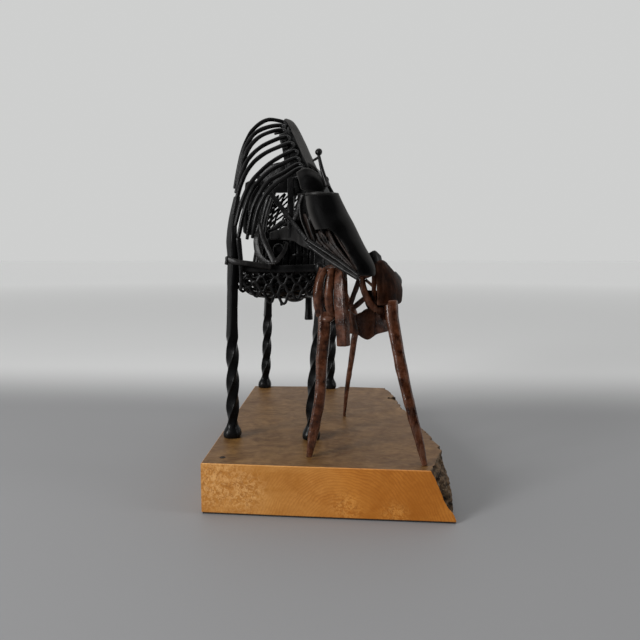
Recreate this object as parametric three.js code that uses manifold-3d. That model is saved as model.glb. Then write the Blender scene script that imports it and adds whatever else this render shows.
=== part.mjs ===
// Mare and foal: a welded iron mare nuzzles her foal on a burl wood slab.
// Millimetres, +Z up. The mare's body lies along Y and she faces -Y; the origin is under the slab's middle.
import * as THREE from 'three';
import { mergeVertices } from 'three/addons/utils/BufferGeometryUtils.js';
import Module from 'manifold-3d';

const wasm = await Module();
wasm.setup();

// Driving dimensions
const PAD_THICKNESS = 1.5;
const SLAB_THICKNESS = 45;
const SLAB_TOP = PAD_THICKNESS + SLAB_THICKNESS;
const FOOT_START = SLAB_TOP - 1;      // a foot starts just inside the slab and is cut level on it
const WELD_GAP = 0.3;                 // room left between two pieces that are welded together
const LEG_BAR = 9.5;                  // the mare's legs are twisted square bar
const LEG_QUARTER_TURN = 26;          // height of a quarter turn of that twist
const TWIST_START = 60;
const TWIST_RINGS = 12;
const SQUARING_RUN = 6;               // height over which the round ankle turns square
const MANE_ROD = 4.6;
const PLATE = 2.5;                    // sheet that the faces and haunches are cut from
const STRAND = 2.4;                   // thickness of the expanded metal
const BODY_MIDDLE = -51;              // the plane that halves the mare's barrel
const RING_HEIGHT = 216;              // height of the chest bar and the straps that carry the belly

// Colours and finishes
const finish = (color, roughness, metalness) => new THREE.MeshStandardMaterial({ color, roughness, metalness });
const blackIron = () => finish(0x1b1b1d, 0.45, 0.8);
const greyIron = () => finish(0x34343a, 0.4, 0.8);
const rustedIron = () => finish(0x4a2b22, 0.55, 0.6);
const burlWood = () => finish(0xa4763c, 0.4, 0);
const feltPad = () => finish(0x1c1a19, 0.95, 0);

const sculpture = new THREE.Group();
const pieces = [];

// A piece is made by a rule that can also give it slightly grown, to cut room for its neighbours.
function piece(name, material, make) {
  pieces.push({ name, material, make });
}

// Turning geometry into solids and back

function solidOf(geometry) {
  geometry.deleteAttribute('normal');
  geometry.deleteAttribute('uv');
  const merged = mergeVertices(geometry, 1e-4);
  const vertProperties = new Float32Array(merged.attributes.position.array);
  const triVerts = new Uint32Array(merged.index.array);
  if (signedVolume(vertProperties, triVerts) < 0) {
    triVerts.reverse();
  }
  return new wasm.Manifold(new wasm.Mesh({ numProp: 3, vertProperties, triVerts }));
}

function signedVolume(points, triangles) {
  const [a, b, c] = [new THREE.Vector3(), new THREE.Vector3(), new THREE.Vector3()];
  let volume = 0;
  for (let i = 0; i < triangles.length; i += 3) {
    a.fromArray(points, 3 * triangles[i]);
    b.fromArray(points, 3 * triangles[i + 1]);
    c.fromArray(points, 3 * triangles[i + 2]);
    volume += a.dot(b.cross(c)) / 6;
  }
  return volume;
}

// The biggest connected body of a cut solid, without the slivers that a cut can leave.
function biggestBody(points, triangles) {
  const parent = Array.from({ length: points.length / 3 }, (_, i) => i);
  const rootOf = (i) => {
    while (parent[i] !== i) {
      parent[i] = parent[parent[i]];
      i = parent[i];
    }
    return i;
  };
  for (let i = 0; i < triangles.length; i += 3) {
    parent[rootOf(triangles[i])] = rootOf(triangles[i + 1]);
    parent[rootOf(triangles[i + 1])] = rootOf(triangles[i + 2]);
  }
  const bodies = new Map();
  for (let i = 0; i < triangles.length; i += 3) {
    const root = rootOf(triangles[i]);
    if (!bodies.has(root)) bodies.set(root, []);
    bodies.get(root).push(triangles[i], triangles[i + 1], triangles[i + 2]);
  }
  const bySize = [...bodies.values()].sort((p, q) => signedVolume(points, q) - signedVolume(points, p));
  return bySize[0];
}

function geometryOf(solid) {
  const mesh = solid.getMesh();
  const geometry = new THREE.BufferGeometry();
  geometry.setAttribute('position', new THREE.BufferAttribute(mesh.vertProperties, 3));
  geometry.setIndex(biggestBody(mesh.vertProperties, mesh.triVerts));
  return geometry;
}

function ball(place, radius, squash = [1, 1, 1]) {
  return (grow) => {
    const sphere = new THREE.SphereGeometry(radius + grow, 8, 5);
    return solidOf(sphere.scale(...squash).translate(...place));
  };
}

function joined(...makers) {
  return (grow) => makers.map((make) => make(grow)).reduce((all, next) => all.add(next));
}

// Bars, rods and plates

// The value at t (0 to 1) in a list of evenly spaced values, or a plain number.
function valueAt(values, t) {
  if (typeof values === 'number') return values;
  const place = Math.min(Math.max(t, 0), 1) * (values.length - 1);
  const index = Math.min(Math.floor(place), values.length - 2);
  return THREE.MathUtils.lerp(values[index], values[index + 1], place - index);
}

function curveThrough(points) {
  return new THREE.CatmullRomCurve3(points.map((p) => new THREE.Vector3(...p)), false, 'centripetal');
}

// A point on a curve, or on its straight continuation past either end.
function reach(curve, t) {
  const inside = Math.min(Math.max(t, 0), 1);
  const point = curve.getPoint(inside);
  if (t === inside) return point;
  return point.addScaledVector(curve.getTangent(inside), (t - inside) * curve.getLength());
}

function moveVertices(geometry, rule) {
  const position = geometry.attributes.position;
  const vertex = new THREE.Vector3();
  for (let i = 0; i < position.count; i += 1) {
    vertex.fromBufferAttribute(position, i);
    const moved = rule(vertex.x, vertex.y, vertex.z);
    position.setXYZ(i, moved.x, moved.y, moved.z);
  }
  return geometry;
}

// A section one unit across: a square of four corners, or a round one that bar() can make square.
function sectionOutline(sides) {
  const first = sides === 4 ? 0.5 : 0;
  const radius = sides === 4 ? Math.SQRT1_2 : 0.5;
  const corners = [];
  for (let i = 0; i < sides; i += 1) {
    const angle = (2 * Math.PI * (i + first)) / sides;
    corners.push(new THREE.Vector2(Math.cos(angle), Math.sin(angle)).multiplyScalar(radius));
  }
  return new THREE.Shape(corners);
}

// A bar of the given section along a route. face is the way its wide side looks, twist is in turns,
// and stations are the places of its rings where they aren't evenly spaced.
function bar({
  route, width, depth = width, face = [0, -1, 0], sides = 4, steps = 8, stations = null, twist = () => 0,
  square = () => 0,
}) {
  const curve = curveThrough(route);
  const outward = new THREE.Vector3(...face);
  return (grow) => {
    const rings = stations ? stations.length - 1 : steps;
    const section = { depth: 1, steps: rings, bevelEnabled: false };
    const straight = new THREE.ExtrudeGeometry(sectionOutline(sides), section);
    return solidOf(moveVertices(straight, (x, y, z) => {
      const t = stations ? valueAt(stations, z) : z;
      const tangent = curve.getTangentAt(t);
      const side = new THREE.Vector3().crossVectors(outward, tangent).normalize();
      const front = new THREE.Vector3().crossVectors(tangent, side);
      const fill = THREE.MathUtils.lerp(1, 0.5 / Math.max(Math.abs(x), Math.abs(y)), square(t));
      const angle = 2 * Math.PI * twist(t);
      const across = x * fill * (valueAt(width, t) + 2 * grow);
      const through = y * fill * (valueAt(depth, t) + 2 * grow);
      const end = z === 0 ? -grow : z === 1 ? grow : 0;
      return curve.getPointAt(t)
        .addScaledVector(side, across * Math.cos(angle) - through * Math.sin(angle))
        .addScaledVector(front, across * Math.sin(angle) + through * Math.cos(angle))
        .addScaledVector(tangent, end);
    }));
  };
}

function rod(route, diameter, steps = 10, sides = 5) {
  return bar({ route, width: diameter, steps, sides });
}

// A smooth surface through rows of points: u runs along a row, v from row to row.
function patch(rows) {
  const curves = rows.map(curveThrough);
  return (u, v) => {
    const column = new THREE.CatmullRomCurve3(curves.map((curve) => reach(curve, u)), false, 'centripetal');
    return reach(column, v);
  };
}

function lengthOf(surface, along) {
  const steps = 12;
  let length = 0;
  for (let i = 0; i < steps; i += 1) {
    const [a, b] = [i / steps, (i + 1) / steps];
    const from = along === 'u' ? surface(a, 0.5) : surface(0.5, a);
    length += from.distanceTo(along === 'u' ? surface(b, 0.5) : surface(0.5, b));
  }
  return length;
}

// The point at height z over the surface's place (u, v).
function raised(surface, u, v, z) {
  const step = 1e-3;
  const alongU = surface(u + step, v).sub(surface(u - step, v));
  const alongV = surface(u, v + step).sub(surface(u, v - step));
  return surface(u, v).addScaledVector(alongU.cross(alongV).normalize(), z);
}

function plate(surface, thickness, across = 6, along = 6) {
  const spread = { u: lengthOf(surface, 'u'), v: lengthOf(surface, 'v') };
  return (grow) => {
    const flat = new THREE.BoxGeometry(1, 1, 1, across, along, 1);
    return solidOf(moveVertices(flat, (x, y, z) => {
      const u = 0.5 + x * (1 + (2 * grow) / spread.u);
      const v = 0.5 + y * (1 + (2 * grow) / spread.v);
      return raised(surface, u, v, z * (thickness + 2 * grow));
    }));
  };
}

// Expanded metal: a sheet of staggered diamond openings, cut through its cells on all four edges.
function expandedMetal(surface, thickness, cellsAcross, cellsAlong, strand) {
  const [girth, length] = [lengthOf(surface, 'u'), lengthOf(surface, 'v')];
  const [cellX, cellY] = [girth / cellsAcross, length / cellsAlong];
  const [halfX, halfY] = [cellX / 2 - strand, cellY / 2 - strand];
  const outline = new THREE.Shape(zigzag(girth, length, cellsAcross, cellsAlong, halfX, halfY));
  for (let i = 1; i < 2 * cellsAcross; i += 1) {
    for (let j = 1; j < 2 * cellsAlong; j += 1) {
      if ((i + j) % 2 === 0) {
        outline.holes.push(diamond((i * cellX) / 2, (j * cellY) / 2, halfX, halfY));
      }
    }
  }
  return () => {
    const flat = new THREE.ExtrudeGeometry(outline, { depth: thickness, steps: 1, bevelEnabled: false });
    const bent = moveVertices(flat, (x, y, z) => raised(surface, x / girth, y / length, z - thickness / 2));
    return solidOf(bent);
  };
}

function diamond(x, y, halfX, halfY) {
  return new THREE.Path([[halfX, 0], [0, halfY], [-halfX, 0], [0, -halfY]].map(([dx, dy]) => (
    new THREE.Vector2(x + dx, y + dy))));
}

function zigzag(girth, length, cellsAcross, cellsAlong, halfX, halfY) {
  const border = [];
  const side = (from, to, cells, half, inward) => {
    const way = new THREE.Vector2().subVectors(to, from);
    const unit = way.clone().normalize();
    border.push(from.clone());
    for (let i = 1; i < cells; i += 1) {
      const middle = from.clone().addScaledVector(way, i / cells);
      border.push(middle.clone().addScaledVector(unit, -half));
      border.push(middle.clone().add(inward));
      border.push(middle.clone().addScaledVector(unit, half));
    }
  };
  const corner = (x, y) => new THREE.Vector2(x, y);
  side(corner(0, 0), corner(girth, 0), cellsAcross, halfX, corner(0, halfY));
  side(corner(girth, 0), corner(girth, length), cellsAlong, halfY, corner(-halfX, 0));
  side(corner(girth, length), corner(0, length), cellsAcross, halfX, corner(0, -halfY));
  side(corner(0, length), corner(0, 0), cellsAlong, halfY, corner(halfX, 0));
  return border;
}

// The wooden base

// Top outline of the slab from the front left corner round to the live bark edge on the right.
// The third number is how far the foot of that edge stands out.
const SLAB_OUTLINE = [
  [-107, -167.5, 0], [-40, -170, 0], [30, -172, 0], [94, -174, 22.6],
  [103, -150, 13], [112, -107, 4], [106, -72, 5], [100, -40, 6], [93, 0, 5], [86, 45, 4],
  [79.6, 95, 2], [69, 106, 1], [79, 113, 2], [74, 138, 2], [65.5, 169, 1],
  [3, 174.6, 0], [-2, 163, 0], [-7, 173.5, 0], [-60, 171.5, 0], [-116.6, 169.8, 0],
  [-112.5, 29, 0], [-110, -70, 0],
];
const BARK_PROFILE = [1, 0.52, 0.32, 0];

function slabBetween(bottom, top, levels, inset) {
  return (grow) => {
    const outline = new THREE.Shape(SLAB_OUTLINE.map(([x, y]) => new THREE.Vector2(x, y)));
    const block = new THREE.ExtrudeGeometry(outline, { depth: 1, steps: levels, bevelEnabled: false });
    return solidOf(moveVertices(block, (x, y, t) => {
      const spread = SLAB_OUTLINE.find(([px, py]) => Math.abs(px - x) < 0.01 && Math.abs(py - y) < 0.01)[2];
      const height = THREE.MathUtils.lerp(bottom, top, t);
      const out = spread * valueAt(BARK_PROFILE, (height - PAD_THICKNESS) / SLAB_THICKNESS);
      const shrink = 1 - inset / Math.hypot(x, y);
      return new THREE.Vector3((x + out) * shrink, y * shrink, height + (t === 1 ? grow : 0));
    }));
  };
}

piece('base_slab', burlWood(), slabBetween(PAD_THICKNESS, SLAB_TOP, 3, 0));
piece('base_pad', feltPad(), slabBetween(0, PAD_THICKNESS, 1, 1.2));

// The mare's legs: square bar, twisted between two heights and upset into a round hoof

function twistedLeg(route, top, widths, depths, twistTo) {
  const height = (t) => THREE.MathUtils.lerp(FOOT_START, top, t);
  const at = (level) => (level - FOOT_START) / (top - FOOT_START);
  const twistRings = Array.from({ length: TWIST_RINGS }, (_, i) => (
    at(THREE.MathUtils.lerp(TWIST_START, twistTo, i / (TWIST_RINGS - 1)))
  ));
  const shoulderRings = [0.35, 0.7, 1].map((part) => THREE.MathUtils.lerp(at(twistTo), 1, part));
  return bar({
    route,
    width: widths,
    depth: depths,
    sides: 8,
    stations: [0, at(TWIST_START) / 2, ...twistRings, ...shoulderRings],
    twist: (t) => {
      const twisted = THREE.MathUtils.clamp(height(t), TWIST_START, twistTo) - TWIST_START;
      return twisted / (4 * LEG_QUARTER_TURN);
    },
    square: (t) => THREE.MathUtils.clamp((height(t) - TWIST_START) / SQUARING_RUN, 0, 1),
  });
}

const FORELEG_WIDTHS = [18, 10.4, LEG_BAR, LEG_BAR, LEG_BAR, LEG_BAR, LEG_BAR,
  10.5, 10.5, 10.5, 11, 12, 12.5, 13, 11, 10, 8];
const FORELEG_DEPTHS = [20, 11, LEG_BAR, LEG_BAR, LEG_BAR, LEG_BAR, LEG_BAR, 8, 8, 8, 8, 8, 7, 7, 6, 5, 4];
const HIND_WIDTHS = [16, 10.4, LEG_BAR, LEG_BAR, LEG_BAR, LEG_BAR, LEG_BAR, 11, 11, 11, 11, 10];
const HIND_DEPTHS = [18, 11, LEG_BAR, LEG_BAR, LEG_BAR, LEG_BAR, LEG_BAR, 8, 8, 8, 8, 8];

piece('mare_foreleg_right', blackIron(), twistedLeg(
  [[-96, -83, FOOT_START], [-95, -83, 105], [-95, -83, 149], [-94, -83, 195], [-93, -84, 223],
    [-93.5, -86, 245], [-93, -82, 262], [-90, -75, 287]],
  287, FORELEG_WIDTHS, FORELEG_DEPTHS, 149));
piece('mare_foreleg_left', blackIron(), twistedLeg(
  [[-16, -85, FOOT_START], [-14, -85, 91], [-11, -85, 126], [-8, -85, 156], [-5, -85, 195], [-4, -83, 225],
    [-6, -70, 262], [-14, -50, 298], [-26, -30, 325]],
  325, FORELEG_WIDTHS, FORELEG_DEPTHS, 149));
piece('mare_hindleg_right', blackIron(), twistedLeg(
  [[-102, 164, FOOT_START], [-99, 164, 90], [-97, 164, 141], [-95, 163, 185], [-90, 150, 217],
    [-86, 140, 245]],
  245, HIND_WIDTHS, HIND_DEPTHS, 145));
piece('mare_hindleg_left', blackIron(), twistedLeg(
  [[-11, 164, FOOT_START], [-9, 164, 100], [-7, 164, 141], [-8, 163, 185], [-14, 150, 217],
    [-17, 140, 245]],
  245, HIND_WIDTHS, HIND_DEPTHS, 145));

// The chest: one bar between the forelegs, a brace welded on its front, and the breast hoop and struts

piece('mare_chest_bar', blackIron(), bar({
  route: [[-87, -84, 217.5], [-50, -85, 216], [-7, -84, 217]], width: 7.5, depth: 4, steps: 6,
}));
piece('mare_chest_brace', greyIron(), bar({
  route: [[-90, -92.5, 223.5], [-69, -93, 221], [-51, -92, 218.5]],
  width: [8, 7.5, 8.5, 7.5], depth: [6, 5.5, 6, 5], sides: 8, steps: 6,
}));
piece('mare_breast_frame', greyIron(), joined(
  bar({
    route: [[-62, -84, 222], [-69, -80, 227], [-71, -77, 238], [-69, -74, 250], [-66, -73, 258]],
    width: [3, 5, 6, 5, 4], depth: 2.5, face: [-0.5, -0.85, 0], steps: 5,
  }),
  bar({ route: [[-67, -73, 260], [-61, -77, 244], [-50, -86, 222]], width: 5, depth: 3, steps: 3 }),
  bar({ route: [[-39, -78, 242], [-43, -83, 232], [-50, -86, 222]], width: 4, depth: 3, steps: 2 }),
  bar({ route: [[-64, -85, 221], [-50, -88, 222]], width: 3, depth: 3, steps: 1 }),
));
piece('mare_shoulder_bar', blackIron(), bar({
  route: [[-84, -90.5, 196], [-84, -90, 222], [-86, -90.5, 246]], width: 5, depth: 3.4, steps: 3,
}));

// The neck: a plate over its left side, a bar inside it and the mane's rods hooked over the crest

piece('mare_neck_bar', blackIron(), bar({
  route: [[-48, -40, 352], [-41, -66, 323], [-36, -82, 303], [-34, -98, 268], [-34, -98, 246]],
  width: 6, depth: 4, steps: 8,
}));
piece('mare_throat_bar', blackIron(), bar({
  route: [[-71, -62, 308], [-43, -94, 274], [-17, -117, 243]],
  width: 4.5, depth: 3, face: [-0.5, -0.8, 0.3], steps: 5,
}));

const MANE_ROUTES = [
  [[-47, -31, 366], [-64, -38, 368], [-78, -43, 358], [-87, -47, 341], [-92, -49, 322], [-97, -51, 297]],
  [[-48, -38, 361], [-62, -43, 360], [-76, -50, 352], [-84, -55, 338], [-89, -58, 320], [-92, -60, 303]],
  [[-46, -46, 355], [-58, -50, 354], [-71, -56, 347], [-80, -61, 336], [-86, -64, 320], [-91, -67, 299]],
  [[-41, -54, 347], [-53, -60, 344], [-68, -64, 336], [-79, -69, 324], [-86, -73, 308], [-91, -76, 290]],
  [[-36, -62, 339], [-50, -69, 335], [-66, -74, 326], [-78, -80, 312], [-86, -84, 292], [-91, -88, 268]],
  [[-31, -72, 330], [-45, -79, 325], [-60, -84, 314], [-73, -89, 299], [-82, -93, 279], [-88, -95, 257]],
  [[-28, -84, 321], [-43, -90, 316], [-58, -94, 306], [-71, -98, 290], [-79, -100, 268], [-84, -101, 245]],
  [[-25, -94, 314], [-40, -99, 307], [-55, -103, 297], [-67, -105, 278], [-72, -105, 260],
    [-75, -105, 244]],
  [[-22, -102, 309], [-37, -107, 302], [-51, -110, 291], [-61, -111, 276], [-66, -111, 260],
    [-69, -110, 245]],
];
MANE_ROUTES.forEach((route, index) => {
  const [x, y, z] = route[0];
  const hook = [[x - 5, y + 6, z - 6], [x + 1.5, y + 4, z - 4.5]];
  piece(`mare_mane_rod_${index + 1}`, blackIron(), rod([...hook, ...route], MANE_ROD, 8));
});

piece('mare_neck_plate', greyIron(), plate(patch([
  [[-50, 14, 342], [-42, 15, 337], [-36, 12, 322], [-33, 6, 302]],
  [[-50, -8, 361], [-42, -4, 358], [-34, 2, 338], [-28, -4, 306]],
  [[-47, -30, 370], [-40, -28, 367], [-31, -18, 346], [-22, -22, 310]],
  [[-36, -52, 352], [-29, -50, 348], [-21, -40, 330], [-14, -42, 302]],
  [[-26, -76, 332], [-19, -74, 328], [-13, -62, 312], [-8, -62, 294]],
  [[-17, -98, 314], [-11, -96, 310], [-6, -86, 300], [-4, -82, 290]],
]), PLATE, 4, 7));

// The head: poll, face, cheeks, jaw, the fins inside the mouth and two ears with ball ends

piece('mare_poll_plate', greyIron(), plate(patch([
  [[-27, -114, 305], [-19, -114, 309], [-10, -112, 306], [-2, -110, 298]],
  [[-25, -119, 299], [-17, -121, 302], [-9, -120, 299], [-1, -117, 292]],
  [[-21, -120, 291], [-16, -122, 288], [-10, -122, 287], [-4, -120, 290]],
]), PLATE, 5, 4));

// The face is a tapering half pipe from the poll to the muzzle, given by its height, its two edges
// across, how deep those lie and how far it bulges; below the cheek its right side is cut away.
const FACE_ROWS = [
  [285, -19, 10.5, -112, 13],
  [268, -19, 19, -116, 14],
  [252, -12, 28, -121, 15],
  [236, 0, 36, -127, 14],
  [219, 20, 44.5, -135, 10],
  [212, 27, 45, -138, 8],
];
function faceRow([height, right, left, rear, bulge]) {
  return [-95, -50, 0, 50, 90, 125].map((degrees) => {
    const angle = THREE.MathUtils.degToRad(degrees);
    const across = (right + left) / 2 + ((left - right) / 2) * Math.sin(angle);
    return [across, rear - bulge * Math.cos(angle), height];
  });
}
const MOUTH_CUT = [[-40, 252], [5, 252.5], [17, 240], [23, 229], [29, 219], [33, 205], [20, 190],
  [-40, 190]];
function faceWithMouth() {
  const pipe = plate(patch(FACE_ROWS.map(faceRow)), PLATE, 9, 6);
  const outline = new THREE.Shape(MOUTH_CUT.map(([x, z]) => new THREE.Vector2(x, z)));
  return (grow) => {
    const cut = new THREE.ExtrudeGeometry(outline, { depth: 80, bevelEnabled: false });
    return pipe(grow).subtract(solidOf(cut.rotateX(Math.PI / 2).translate(0, -90, 0)));
  };
}
piece('mare_face', blackIron(), faceWithMouth());
piece('mare_jaw_bar', greyIron(), bar({
  route: [[-17, -121, 239], [5, -133, 224], [30, -146, 209]], width: [7, 6, 5, 4], depth: [4, 4, 4, 3],
  face: [-0.2, -0.7, 0.7], sides: 8, steps: 6,
}));
const FINS = [
  [[[-10, -116, 250], [-3, -120, 239], [12, -131, 224], [29, -142, 212]], [7, 7, 6, 4]],
  [[[-2, -116, 251], [8, -124, 240], [20, -134, 227], [29, -141, 213]], [6, 6, 5, 4]],
  [[[6, -118, 251], [15, -126, 240], [23, -134, 228], [30, -140, 214]], [5, 5, 5, 4]],
];
piece('mare_jaw_fins', greyIron(), joined(...FINS.map(([route, width]) => (
  bar({ route, width, depth: 2, face: [-0.7, -0.5, 0.4], steps: 4 })
))));
piece('mare_cheek_right', greyIron(), plate(patch([
  [[-21, -112, 284], [-24, -114, 275], [-23, -116, 263], [-19, -118, 252], [-15, -119, 244]],
  [[-18, -106, 284], [-18, -107, 275], [-16, -109, 262], [-13, -112, 250], [-12, -114, 243]],
]), 2, 5, 1));
piece('mare_cheek_left', greyIron(), plate(patch([
  [[10, -98, 282], [16, -100, 268], [21, -106, 254], [24, -112, 244]],
  [[4, -92, 280], [8, -94, 267], [12, -101, 254], [17, -110, 244]],
]), 2, 4, 1));
piece('mare_throat_plate', greyIron(), plate(patch([
  [[-57, -77, 248], [-46, -86, 252], [-37, -96, 256], [-28, -105, 254], [-22, -111, 246]],
  [[-57, -77, 243.5], [-43, -86, 244], [-32, -96, 243], [-26, -104, 240], [-21, -112, 238]],
]), 2, 6, 1));
piece('mare_ear_right', greyIron(), joined(
  ball([-7, -106, 324], 3.7),
  bar({ route: [[-7, -106, 322], [-3, -111, 306], [2, -114, 292]], width: [3, 3.4, 4], steps: 3 }),
  rod([[-13, -100, 317], [-7.5, -106, 319]], 2.4, 1),
));
piece('mare_ear_left', greyIron(), joined(
  ball([-1, -103, 299], 3.7),
  bar({ route: [[-1, -103, 298], [3, -104, 292], [6, -105, 286]], width: [3, 3.6, 4.4], steps: 2 }),
));

// The mare's body: backbone, ribs, shoulder and haunch plates, and the expanded metal of belly and rump

piece('mare_backbone', blackIron(), bar({
  route: [[-48, 18, 334], [-51, 50, 333], [-52, 85, 335.5], [-52, 120, 338], [-52, 148, 334]],
  width: [12, 12, 12, 12, 9], depth: 5, face: [0, 0, 1], steps: 7,
}));

// Mirrors a point of the right side over the barrel's middle plane when side is 1.
const onSide = (side) => ([x, y, z]) => [BODY_MIDDLE + side * (x - BODY_MIDDLE) * -1, y, z];
const SIDES = [['right', -1], ['left', 1]];

const BELLY_HALF_WIDTHS = [40, 39, 40, 43, 47];
const RIB_SHARES = [[0.2, 328], [0.48, 308], [0.76, 275], [0.88, 240], [0.99, RING_HEIGHT - 2]];
const BELLY_FRONT = -76;
const BELLY_REAR = 128;
const halfWidthAt = (y) => valueAt(BELLY_HALF_WIDTHS, (y - BELLY_FRONT) / (BELLY_REAR - BELLY_FRONT));
for (const [side, sign] of SIDES) {
  const strap = [0.02, 0.25, 0.5, 0.75, 0.93].map((t) => {
    const y = THREE.MathUtils.lerp(BELLY_FRONT, BELLY_REAR, t);
    return [BODY_MIDDLE + sign * (halfWidthAt(y) + 1), y, RING_HEIGHT - 2];
  });
  const ribs = [16, 44, 72].map((y) => {
    const route = RIB_SHARES.map(([part, z]) => [BODY_MIDDLE + sign * part * halfWidthAt(y), y, z]);
    return bar({ route, width: 8, depth: 3, face: [sign, 0, 0.2], steps: 4 });
  });
  piece(`mare_ribs_${side}`, blackIron(), joined(
    bar({ route: strap, width: 7, depth: 3, face: [sign, 0, 0], steps: 4 }), ...ribs));
}

piece('mare_croup_plate', blackIron(), plate(patch([
  [[-80, 74, 304], [-74, 72, 323], [-64, 70, 337], [-51, 70, 341], [-38, 70, 337], [-28, 72, 323],
    [-22, 74, 304]],
  [[-95, 112, 300], [-87, 110, 325], [-70, 108, 341], [-51, 108, 345], [-32, 108, 341], [-15, 110, 325],
    [-7, 112, 300]],
  [[-98, 142, 302], [-88, 144, 326], [-70, 145, 340], [-51, 146, 343], [-32, 145, 340], [-14, 144, 326],
    [-6, 142, 302]],
  [[-90, 155, 306], [-82, 159, 317], [-68, 163, 322], [-51, 164, 324], [-34, 163, 322], [-20, 159, 317],
    [-12, 155, 306]],
]), PLATE, 7, 4));

for (const [side, sign] of SIDES) {
  const mirrored = onSide(sign);
  piece(`mare_haunch_${side}`, blackIron(), plate(patch([
    [[-95, 100, 222], [-103, 122, 216], [-101, 148, 214], [-83, 162, 216], [-54, 166, 220]],
    [[-96, 92, 242], [-106, 122, 240], [-103, 148, 240], [-83, 163, 240], [-53.5, 166.5, 240]],
    [[-93, 98, 272], [-103, 120, 284], [-101, 144, 270], [-81, 160, 258], [-54, 165, 256]],
  ].map((row) => row.map(mirrored))), PLATE, 6, 4));
}
piece('mare_shoulder_plate', blackIron(), plate(patch([
  [[-84, -58, 302], [-76, -62, 304], [-66, -60, 300]],
  [[-86, -66, 276], [-78, -71, 276], [-67, -70, 272]],
  [[-84, -72, 252], [-79, -76, 249], [-73, -74, 250]],
]), PLATE, 3, 3));
// The tail's two strands part under the dock and are swept a little to the right.
piece('mare_tail', blackIron(), joined(
  rod([[-54, 167, 320], [-62, 171, 300], [-66, 172, 262], [-66, 170.5, 205]], 4.6, 6),
  rod([[-57, 168, 317], [-68, 171.5, 296], [-72.5, 172, 262], [-72, 170.5, 197]], 4.6, 6),
));
piece('mare_udder_bowl', greyIron(), (grow) => {
  const profile = [[0, 170], [7, 171], [12, 174], [13.5, 177.3], [0, 177.3]];
  const bowl = new THREE.LatheGeometry(profile.map(([r, z]) => new THREE.Vector2(r && r + grow, z)), 12);
  return solidOf(bowl.rotateX(Math.PI / 2).translate(BODY_MIDDLE - 2, 104, 0));
});
piece('mare_udder_teat', blackIron(), bar({
  route: [[-36, 118, 186], [-36, 118, 166], [-36, 118, 146]], width: [6.6, 6.8, 7, 9], sides: 8, steps: 3,
}));

// The belly hangs between the straps, and its front end turns up behind the chest bar.
const BELLY_ROWS = [
  [-80, 214, 215, 215],
  [-76, 211, 203, 200],
  [-68, 209, 193, 187.5],
  [-20, 208, 186, 180],
  [50, 208, 184, 178],
  [BELLY_REAR, 211, 190, 184],
].map(([y, edge, bilge, keel]) => (
  [[-1, edge], [-0.82, bilge], [0, keel], [0.82, bilge], [1, edge]].map(([part, z]) => (
    [BODY_MIDDLE + part * halfWidthAt(y), y, z]))
));
piece('mare_belly_mesh', blackIron(), expandedMetal(patch(BELLY_ROWS), STRAND, 5, 6, 2.2));
piece('mare_rump_mesh', blackIron(), expandedMetal(patch([
  [[-97, 140, 262], [-85, 157, 260], [-51, 163.5, 259], [-17, 157, 260], [-5, 140, 262]],
  [[-97, 140, 284], [-84, 157, 284], [-51, 163, 285], [-18, 157, 284], [-5, 140, 284]],
  [[-93, 148, 301], [-80, 156, 309], [-51, 162, 315], [-22, 156, 309], [-9, 148, 301]],
]), STRAND, 5, 2, 1.8));

// The foal: hindquarters toward the viewer, its head under the mare's flank

piece('foal_hindleg_left', rustedIron(), bar({
  route: [[-13, -143, FOOT_START], [-9, -139, 70], [-4, -136, 98], [-2, -132, 134], [0, -129, 161],
    [0, -127, 184]],
  width: [3.5, 7, 8.5, 9.5, 10.5, 10.8, 10.2], sides: 8, steps: 8,
}));
piece('foal_hindleg_right', rustedIron(), bar({
  route: [[90, -160, FOOT_START], [85, -154, 67], [77, -148, 97], [70, -141, 127], [65, -135, 153],
    [61, -130, 176], [60, -127, 188]],
  width: [3.5, 6.5, 8, 9.5, 10.5, 10.8, 10.2], sides: 8, steps: 8,
}));
const FOAL_FORELEG_WIDTHS = [2.4, 3.6, 4.2, 5, 5.4, 6, 7, 7];
piece('foal_foreleg_right', rustedIron(), bar({
  route: [[14, 9, FOOT_START], [17, 7, 77], [22, 4, 112], [25, 1, 135], [27, 0, 152], [24, 0, 167],
    [15, 2, 184], [9, 5, 203]],
  width: FOAL_FORELEG_WIDTHS, sides: 6, steps: 8,
}));
piece('foal_foreleg_left', rustedIron(), bar({
  route: [[-17, 7, FOOT_START], [-13, 5, 89], [-10, 2, 123], [-7, 0, 152], [-5, 0, 180], [0, 5, 203]],
  width: FOAL_FORELEG_WIDTHS, sides: 6, steps: 7,
}));
piece('foal_tail', rustedIron(), bar({
  route: [[16, -125, 217], [17, -134, 207], [17, -138, 189], [18, -140, 167], [19, -141, 148]],
  width: [9, 9.9, 9.9, 9.9, 9.3], depth: 6, sides: 8, square: () => 0.6, steps: 6,
}));
piece('foal_thigh_strap', rustedIron(), bar({
  route: [[6, -126, 215], [6, -131, 202], [6, -132, 189], [7, -131, 178], [11, -129, 171]],
  width: [7.5, 8.2, 8.2, 7.5, 5], depth: 5, sides: 8, square: () => 0.5, steps: 6,
}));
piece('foal_haunch_left', rustedIron(), plate(patch([
  [[0, -127, 214], [-3, -120, 218], [-5, -104, 218], [-3, -88, 214]],
  [[-1, -131, 200], [-7, -125, 200], [-10.5, -106, 200], [-9.5, -86, 200]],
  [[0, -129, 182], [-8, -124, 184], [-10.5, -108, 184], [-10, -92, 186]],
  [[-1, -127, 174], [-5, -124, 173], [-8, -112, 174], [-9, -104, 178]],
]), PLATE, 5, 4));
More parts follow.
